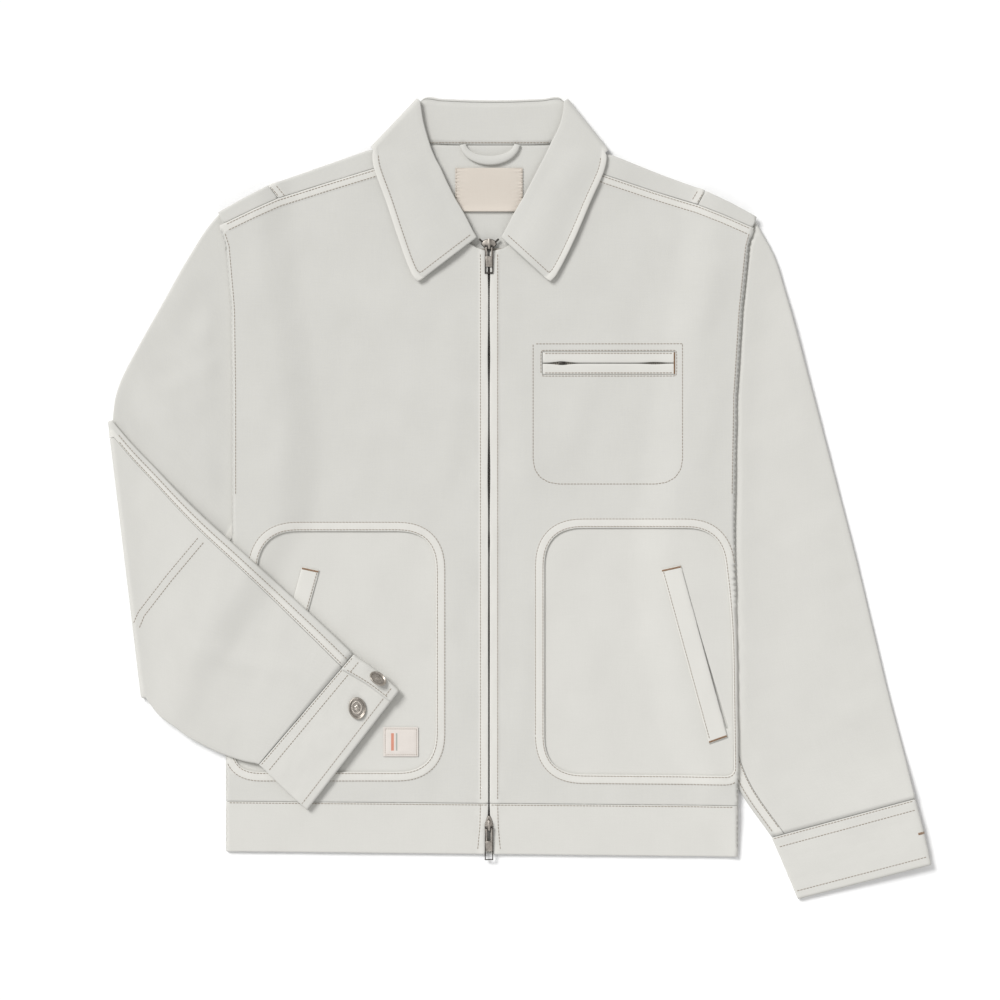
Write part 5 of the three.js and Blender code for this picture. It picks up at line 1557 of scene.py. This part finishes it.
for k in range(LOOP_STEPS + 1):
    outer, inner = k * ahead, k * ahead + LOOP_SIDES
    for j in range(LOOP_SIDES):
        n = (j + 1) % LOOP_SIDES
        if k < LOOP_STEPS:
            faces.append((outer + j, outer + ahead + j, outer + ahead + n, outer + n))
            faces.append((inner + n, inner + ahead + n, inner + ahead + j, inner + j))
        if k == 0:
            faces.append((outer + j, outer + n, inner + n, inner + j))
        if k == LOOP_STEPS:
            faces.append((inner + j, inner + n, outer + n, outer + j))
loop = make_mesh("hanger_loop_twill", points, faces, uv, twill)
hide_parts("hanger_loop")


# Pocket patch. A small woven patch sewn to the wearer's right pocket, near the zip. It carries two
# plain stripes and no words.
PATCH = {"left": -97, "right": -65, "bottom": 89, "top": 116}


def striped_cloth():
    """Cream woven cloth with a narrow orange and a narrower grey-green upright stripe."""
    made, shader, start = new_material("striped_patch", 0.82)
    place = start.node("ShaderNodeUVMap", {"uv_map": "cloth"})
    across, along = place.part(0), place.part(1)
    weave = (across * 7.2).sine() * (along * 7.2).sine()
    cloud = place.noise(0.5, 3.0)
    ground = (cloud * 0.6 + weave * 0.12 + 0.2).mix((0.700, 0.643, 0.592, 1), (0.762, 0.713, 0.668, 1))
    middle = (along < PATCH["top"] - 5.5) * (along > PATCH["bottom"] + 5.5)

    def stripe(start, end):
        return (across > PATCH["left"] + start) * (across < PATCH["left"] + end) * middle

    orange = (stripe(7, 9.6) * 0.85).mix(ground, (0.640, 0.215, 0.125, 1))
    green = (stripe(11.4, 12.8) * 0.75).mix(orange, (0.285, 0.330, 0.290, 1))
    plug_in(shader, "Base Color", green)
    plug_in(shader, "Normal", weave.bump(0.4, 0.00005))
    return made


def patch_puff(flat, edge):
    """Unevenness, and the groove that the sewing pulls in beside the edge."""
    uneven = 0.16 * ripple(flat[:, 0], flat[:, 1], 8, 43) * smoothstep(edge, 0, 2)
    return uneven - 0.4 * np.exp(-(((edge - 1.6) / 0.9) ** 2)), 0.0


lay_panel("pocket_patch", rectangle(**PATCH), laid("front"), step=1.2, grid=2.0, thickness=0.9,
          profile=patch_puff, cloth="cloth", material=striped_cloth(), slot="label",
          rows=(0.5, 1.1, 1.7, 2.5))
sew("pocket_patch_stitches", [grown(rectangle(**PATCH), -1.6)], ["pocket_patch_cloth"], length=1.7,
    pitch=2.0, half=0.24)


# Main zip. A woven tape under each front edge carries close metal teeth, and a slider at each end
# runs on them. The sliders stay where they are, and each pull tab hangs from its slider's bridge as a piece
# of its own, drooping a little.
tape_cloth = cloth_material("zip_tape_cloth", (0.420, 0.385, 0.335), (0.330, 0.300, 0.258), rib=1.1,
                            rib_depth=0.12)
ZIP_TAPE = {"inner": 1.2, "outer": 15, "bottom": 3, "top": 556}
TAPE_CUT = {"step": 4, "rows": (0.5, 1.2, 2.4), "thickness": 0.9, "cloth": "cloth",
            "material": tape_cloth, "slot": "tape"}


def metal_material(name, light, dark, roughness):
    """Plated metal: the light colour on open faces, the dark one in hollows, where ambient occlusion paints
    shade standing for shade and dark reflections; noise adds uneven wear.
    """
    made, shader, start = new_material(name, roughness, 1.0)
    place = start.node("ShaderNodeTexCoord", output=3)
    hollow_shade = start.node("ShaderNodeAmbientOcclusion", {"samples": 8}, {"Distance": 0.0016}, 1)
    cloud = place.noise(420, 3.0)
    speck = place.noise(2600, 2.0)
    # Painted shade in the hollows, with uneven wear from noise.
    wear_and_shade = hollow_shade * 1.25 + (cloud - 0.5) * 0.9 + (speck - 0.5) * 0.35 - 0.42
    plug_in(shader, "Base Color", wear_and_shade.mix((*dark, 1), (*light, 1)))
    plug_in(shader, "Roughness", speck * 0.18 + (cloud * 0.2 + (roughness - 0.2)))
    plug_in(shader, "Normal", speck.bump(0.25, 0.0001))
    return made


antique_nickel = metal_material("antique_nickel", (0.590, 0.540, 0.482), (0.060, 0.052, 0.046), 0.40)
# A dark copy of the nickel, painted shade and dark reflection for metal that shows dark: the teeth in their
# gaps, the stops, the chest slider, the sliders' lower plates and the pulls' rails.
shaded_nickel = metal_material("shaded_nickel_metal", (0.115, 0.105, 0.095), (0.018, 0.016, 0.014), 0.45)


def add_blocks(name, blocks, material):
    """Small blocks with their upper edges cut back: middle, size, and turn about the vertical."""
    points, faces = [], []
    for (x, y, z), (length, width, height), turn in blocks:
        start = len(points)
        along = np.array([math.cos(turn), math.sin(turn)])
        side = np.array([-along[1], along[0]])
        for level, shrink in ((-0.5, 1.0), (0.22, 1.0), (0.5, 0.72)):
            for u, v in ((-0.5, -0.5), (0.5, -0.5), (0.5, 0.5), (-0.5, 0.5)):
                flat = np.array([x, y]) + along * u * length * shrink + side * v * width * shrink
                points.append((*flat, z + level * height))
        for row in (0, 4):
            for k in range(4):
                n = (k + 1) % 4
                faces.append((start + row + k, start + row + n, start + row + 4 + n, start + row + 4 + k))
        faces += [(start + 3, start + 2, start + 1, start), (start + 8, start + 9, start + 10, start + 11)]
    made = make_mesh(name, np.array(points), faces, None, material, slot="nickel")
    made.data.polygons.foreach_set("use_smooth", [False] * len(faces))
    return made


def rise_at(x, y):
    return float(rise(np.array([float(x)]), np.array([float(y)]), 1.0)[0])


for name, side in SIDES:
    outline = rectangle(side * ZIP_TAPE["inner"], side * ZIP_TAPE["outer"],
                        ZIP_TAPE["bottom"], ZIP_TAPE["top"])
    lay_panel(f"zip_tape_{name}", outline, laid("pocket"), grid=7, **TAPE_CUT)

TOOTH = {"pitch": 2.0, "offset": 0.55, "size": (2.3, 1.1, 1.3), "height": 0.65}
ZIP_CLOSED = (30, 553)
teeth = []
for k, y in enumerate(np.arange(*ZIP_CLOSED, TOOTH["pitch"])):
    x = TOOTH["offset"] if k % 2 else -TOOTH["offset"]
    teeth.append(((x, y, rise_at(0, y) + LAYER["pocket"] + TOOTH["height"]), TOOTH["size"], 0.0))
add_blocks("main_zip_teeth", teeth, shaded_nickel)


def add_solid(name, parts, material, body="jacket", pivot=None):
    """One metal piece from rounded plates. A plate is an outline, its low and high levels and the
    radius of its upper edge, in millimetres. A pull tab droops a little about its pivot."""
    shape = bmesh.new()
    for outline, low, high, radius in parts:
        base = [shape.verts.new((x, y, low)) for x, y in outline]
        face = shape.faces.new(base)
        raised = bmesh.ops.extrude_face_region(shape, geom=[face])["geom"]
        top = [v for v in raised if isinstance(v, bmesh.types.BMVert)]
        bmesh.ops.translate(shape, verts=top, vec=(0, 0, high - low))
        rim = [e for e in raised if isinstance(e, bmesh.types.BMEdge)]
        bmesh.ops.bevel(shape, geom=rim, offset=radius, segments=3, profile=0.5, affect="EDGES")
    bmesh.ops.recalc_face_normals(shape, faces=shape.faces[:])
    mesh_points = np.array([tuple(v.co) for v in shape.verts])
    mesh_faces = [tuple(v.index for v in f.verts) for f in shape.faces]
    shape.free()
    if pivot is not None:
        droop = np.array(Matrix.Rotation(PULL_DROOP, 3, "X"))
        mesh_points = (mesh_points - pivot) @ droop.T + pivot
    return make_mesh(name, mesh_points, mesh_faces, None, material, body=body, slot="nickel")


def turned(outline, x, y, turn=0.0):
    """An outline drawn about its own middle, turned and moved to its place."""
    return [(x + u * math.cos(turn) - v * math.sin(turn), y + u * math.sin(turn) + v * math.cos(turn))
            for u, v in outline]


# The sliders seen from above: the top one is wide where the zip opens, the bottom one narrow
SHIELDS = {
    "top": [(-3.4, -5.2, 0.8), (3.4, -5.2, 0.8), (4.2, -3.0, 1.2), (7.4, -0.6, 1.2),
            (6.4, 2.4, 1.4), (3.4, 4.4, 1.4), (0, 4.9, 1.5), (-3.4, 4.4, 1.4),
            (-6.4, 2.4, 1.4), (-7.4, -0.6, 1.2), (-4.2, -3.0, 1.2)],
    "bottom": [(-3.9, -5.2, 1.2), (3.9, -5.2, 1.2), (4.1, 0.4, 2.0), (2.8, 5.4, 2.0),
               (0.9, 9.2, 0.8), (-0.9, 9.2, 0.8), (-2.8, 5.4, 2.0), (-4.1, 0.4, 2.0)],
}
PULL_DROOP = 0.07
PULLS = {  # length, eye and window (from the pivot), all in millimetres
    "top": {"length": 25.0, "eye": 9.0, "window": (18.6, 23.6)},
    "bottom": {"length": 29.8, "eye": 12.2, "window": (21.6, 28.9)},
}
PULL_HALF = 3.9
RAIL = {"half": 0.5, "depth": 0.7, "inner": 0.9}
BRIDGE = {"half_width": 1.15, "reach": 4.6, "leg": 0.55, "height": 3.8, "inside": 2.7}
KEEL = {"half_width": 0.45, "reach": 4}
UPPER_PLATE = (0.9, 0.92)  # the upper plate's share of the lower one's width and length
SLIDERS = {"top": (0, 560, 4.5), "bottom": (0, 26, 4.5)}
STOP = {"x": 7.6, "y": 563.4, "lean": 0.75}
for name, (x, y, z) in SLIDERS.items():
    shield = round_corners(SHIELDS[name])
    upper = [(u * UPPER_PLATE[0], v * UPPER_PLATE[1]) for u, v in shield]
    wide, reach, leg = BRIDGE["half_width"], BRIDGE["reach"], BRIDGE["leg"]
    keel = rectangle(x - KEEL["half_width"], x + KEEL["half_width"], y - KEEL["reach"], y + KEEL["reach"])
    plate = z + 1.6
    slider = add_solid(f"slider_{name}_metal", [
        (turned(upper, x, y), z + 0.6, plate, 0.4), (keel, z - 1.9, z + 0.2, 0.1),
        *[(rectangle(x - wide, x + wide, y + at - leg, y + at + leg), plate - 0.3, plate + 3.4, 0.1)
          for at in (-reach + leg, reach - leg)],
        (rectangle(x - wide, x + wide, y - reach, y + reach),
         plate + 0.2 + BRIDGE["inside"], plate + 0.2 + BRIDGE["height"], 0.4),
    ], antique_nickel)
    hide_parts(f"zip_slider_{name}")
    # The lower plate's wider outline shows round the upper one as a painted shadow rim.
    add_solid(f"slider_{name}_lower_plate_metal", [(turned(shield, x, y), z, z + 0.5, 0.2)], shaded_nickel)

    pivot = np.array([x, y - 2.3, z + 3.0])
    length, eye, (window_start, window_end) = PULLS[name].values()
    half, rail, depth, inner = PULL_HALF, RAIL["half"], RAIL["depth"], PULL_HALF - RAIL["inner"]
    low, high = pivot[2] - depth, pivot[2] + depth

    def along_pull(middle, half_width, start, end):
        """A rectangle along the pull, from start to end below its pivot."""
        left = x + middle
        return rectangle(left - half_width, left + half_width, pivot[1] - end, pivot[1] - start)

    # The rails are in painted shade, a dark outline standing for dark reflections.
    rails = add_solid(f"pull_{name}_rails_metal", [
        *[(along_pull(middle, rail, -depth, length), low, high, 0.25)
          for middle in (rail - half, half - rail)],
        (along_pull(0, inner, window_end, length), low, high, 0.2),
        (along_pull(0, inner, -depth, depth), low, high, 0.5),
    ], shaded_nickel, f"{name}_pull", pivot)
    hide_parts(f"zip_pull_{name}")
    add_solid(f"pull_{name}_face_metal", [
        (along_pull(0, half - 0.8, eye, window_start), low + 0.1, high + 0.15, 0.35),
        *[(along_pull(middle, 0.6, 0.7, eye + 0.5), low + 0.1, high + 0.15, 0.3)
          for middle in (1.4 - half, half - 1.4)],
    ], antique_nickel, f"{name}_pull", pivot)
stop = rectangle(-1.9, 1.9, -0.9, 0.9)
add_solid("zip_top_stops", [
    (turned(stop, side * STOP["x"], STOP["y"], side * STOP["lean"]), 4.2, 5.9, 0.35) for _, side in SIDES
], shaded_nickel)


# Chest zip. A short tape carries close metal teeth behind the two welts, and its small slider stands
# at the end beside the main zip.
lay_panel("chest_zip_tape", rectangle(45, 175, 436, 465), laid("pocket"), grid=6, **TAPE_CUT)
CHEST_TOOTH = {"pitch": 1.7, "offset": 0.4, "size": (0.95, 1.9, 1.3), "height": 0.85}
teeth = []
for k, x in enumerate(np.arange(51, 170, CHEST_TOOTH["pitch"])):
    y = CHEST_SLIT + (CHEST_TOOTH["offset"] if k % 2 else -CHEST_TOOTH["offset"])
    place = (x, y, rise_at(x, CHEST_SLIT) + LAYER["pocket"] + CHEST_TOOTH["height"])
    teeth.append((place, CHEST_TOOTH["size"], 0.0))
add_blocks("chest_zip_teeth", teeth, shaded_nickel)
CHEST_SLIDER = 67
z = rise_at(CHEST_SLIDER, CHEST_SLIT) + LAYER["front"]
chest_slider = add_solid("chest_slider_metal", [
    (turned(rectangle(-3, 3, -1.1, 1.1), CHEST_SLIDER, CHEST_SLIT), z - 0.4, z + 1.2, 0.4),
    (turned(rectangle(-1.4, 1.6, -0.5, 0.5), CHEST_SLIDER, CHEST_SLIT), z + 1.1, z + 1.8, 0.25),
], shaded_nickel)
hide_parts("chest_zip_slider")


# Buttons. Pressed metal tack buttons on a short shank, with a raised rim, a roped ring and a small
# domed middle. Two close each cuff, and one of the right pair leans on its shank.
BUTTON_PROFILE = [  # share of the radius and height
    (0.0, 1.95), (0.10, 1.93), (0.20, 1.84), (0.27, 1.66), (0.32, 1.45), (0.38, 1.42),
    (0.43, 1.62), (0.49, 1.72), (0.55, 1.74), (0.61, 1.70), (0.66, 1.52), (0.72, 1.44),
    (0.77, 1.55), (0.82, 2.15), (0.87, 2.62), (0.92, 2.78), (0.97, 2.62), (1.0, 2.1),
    (1.0, 1.7), (0.96, 1.25), (0.85, 0.95), (0.5, 0.8), (0.36, 0.5), (0.36, -1.2),
]
BUTTON_SIDES = 96
ROPE = {"depth": 0.20, "strands": 24, "twist": 9, "at": 0.55, "half_width": 0.09}
PETALS = {"depth": 0.16, "count": 5, "at": 0.2, "half_width": 0.08}
# Place (above the cuff on the right, above the table on the left), half width, half height, lean,
# the way it leans, and face up or down
FINE_BUTTONS = {
    "right_1": ((-102.4, 160.2, 2.8), 6.9, 8.4, 0.72, 0.95, 1),
    "right_2": ((-120.9, 133.8, 0.4), 8.0, 10.2, 0.08, 0.15, 1),
    "left_1": ((391, 15, 2.8), 8.5, 8.5, 0.0, 0.0, -1),
    "left_2": ((362, 8, 2.8), 8.5, 8.5, 0.0, 0.0, -1),
}
cuff_tree = surface_tree(["cuff_right_twill"])
for name, (place, half_x, half_y, lean, way, up) in FINE_BUTTONS.items():
    points, faces = [], []
    for share, height in BUTTON_PROFILE:
        rope = ROPE["depth"] * math.exp(-(((share - ROPE["at"]) / ROPE["half_width"]) ** 2))
        petals = PETALS["depth"] * math.exp(-(((share - PETALS["at"]) / PETALS["half_width"]) ** 2))
        for turn in (2 * math.pi * k / BUTTON_SIDES for k in range(BUTTON_SIDES)):
            relief = rope * math.cos(ROPE["strands"] * turn + ROPE["twist"] * share)
            relief += petals * math.cos(PETALS["count"] * turn)
            points.append((half_x * share * math.cos(turn), half_y * share * math.sin(turn), height + relief))
    for row in range(len(BUTTON_PROFILE) - 1):
        for k in range(BUTTON_SIDES):
            n = (k + 1) % BUTTON_SIDES
            low, high = row * BUTTON_SIDES, (row + 1) * BUTTON_SIDES
            faces.append((low + k, high + k, high + n, low + n))
    points = np.array(points, float) * (1, 1, up)
    place = np.array(place, float)
    if up > 0:
        place[2] += on_surface(cuff_tree, *place[:2], False)[0][2]
    axis = Vector((-math.sin(way), math.cos(way), 0))
    tilt = np.array(Matrix.Rotation(lean, 3, axis) @ Matrix.Rotation(way, 3, "Z"))
    points = points @ tilt.T + place
    if up < 0:
        faces = [face[::-1] for face in faces]
    button = make_mesh(f"button_{name}_metal", points, faces, None, antique_nickel, slot="nickel")
    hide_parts(f"button_{name}")


# Table. A plain white top, much larger than the jacket, lies level under it. It is the stage and
# no part of the jacket.
FLOOR_HALF = 4.0
floor_mesh = bpy.data.meshes.new("table_top")
corners = rectangle(-FLOOR_HALF, FLOOR_HALF, -FLOOR_HALF, FLOOR_HALF)
floor_mesh.from_pydata([(*corner, 0) for corner in corners], [], [(0, 1, 2, 3)])
floor = bpy.data.objects.new("table_top", floor_mesh)
bpy.context.collection.objects.link(floor)
floor_paint, floor_shader, _ = new_material("white_table", 0.9)
floor_shader.inputs["Base Color"].default_value = (0.985, 0.985, 0.985, 1)
floor_mesh.materials.append(floor_paint)
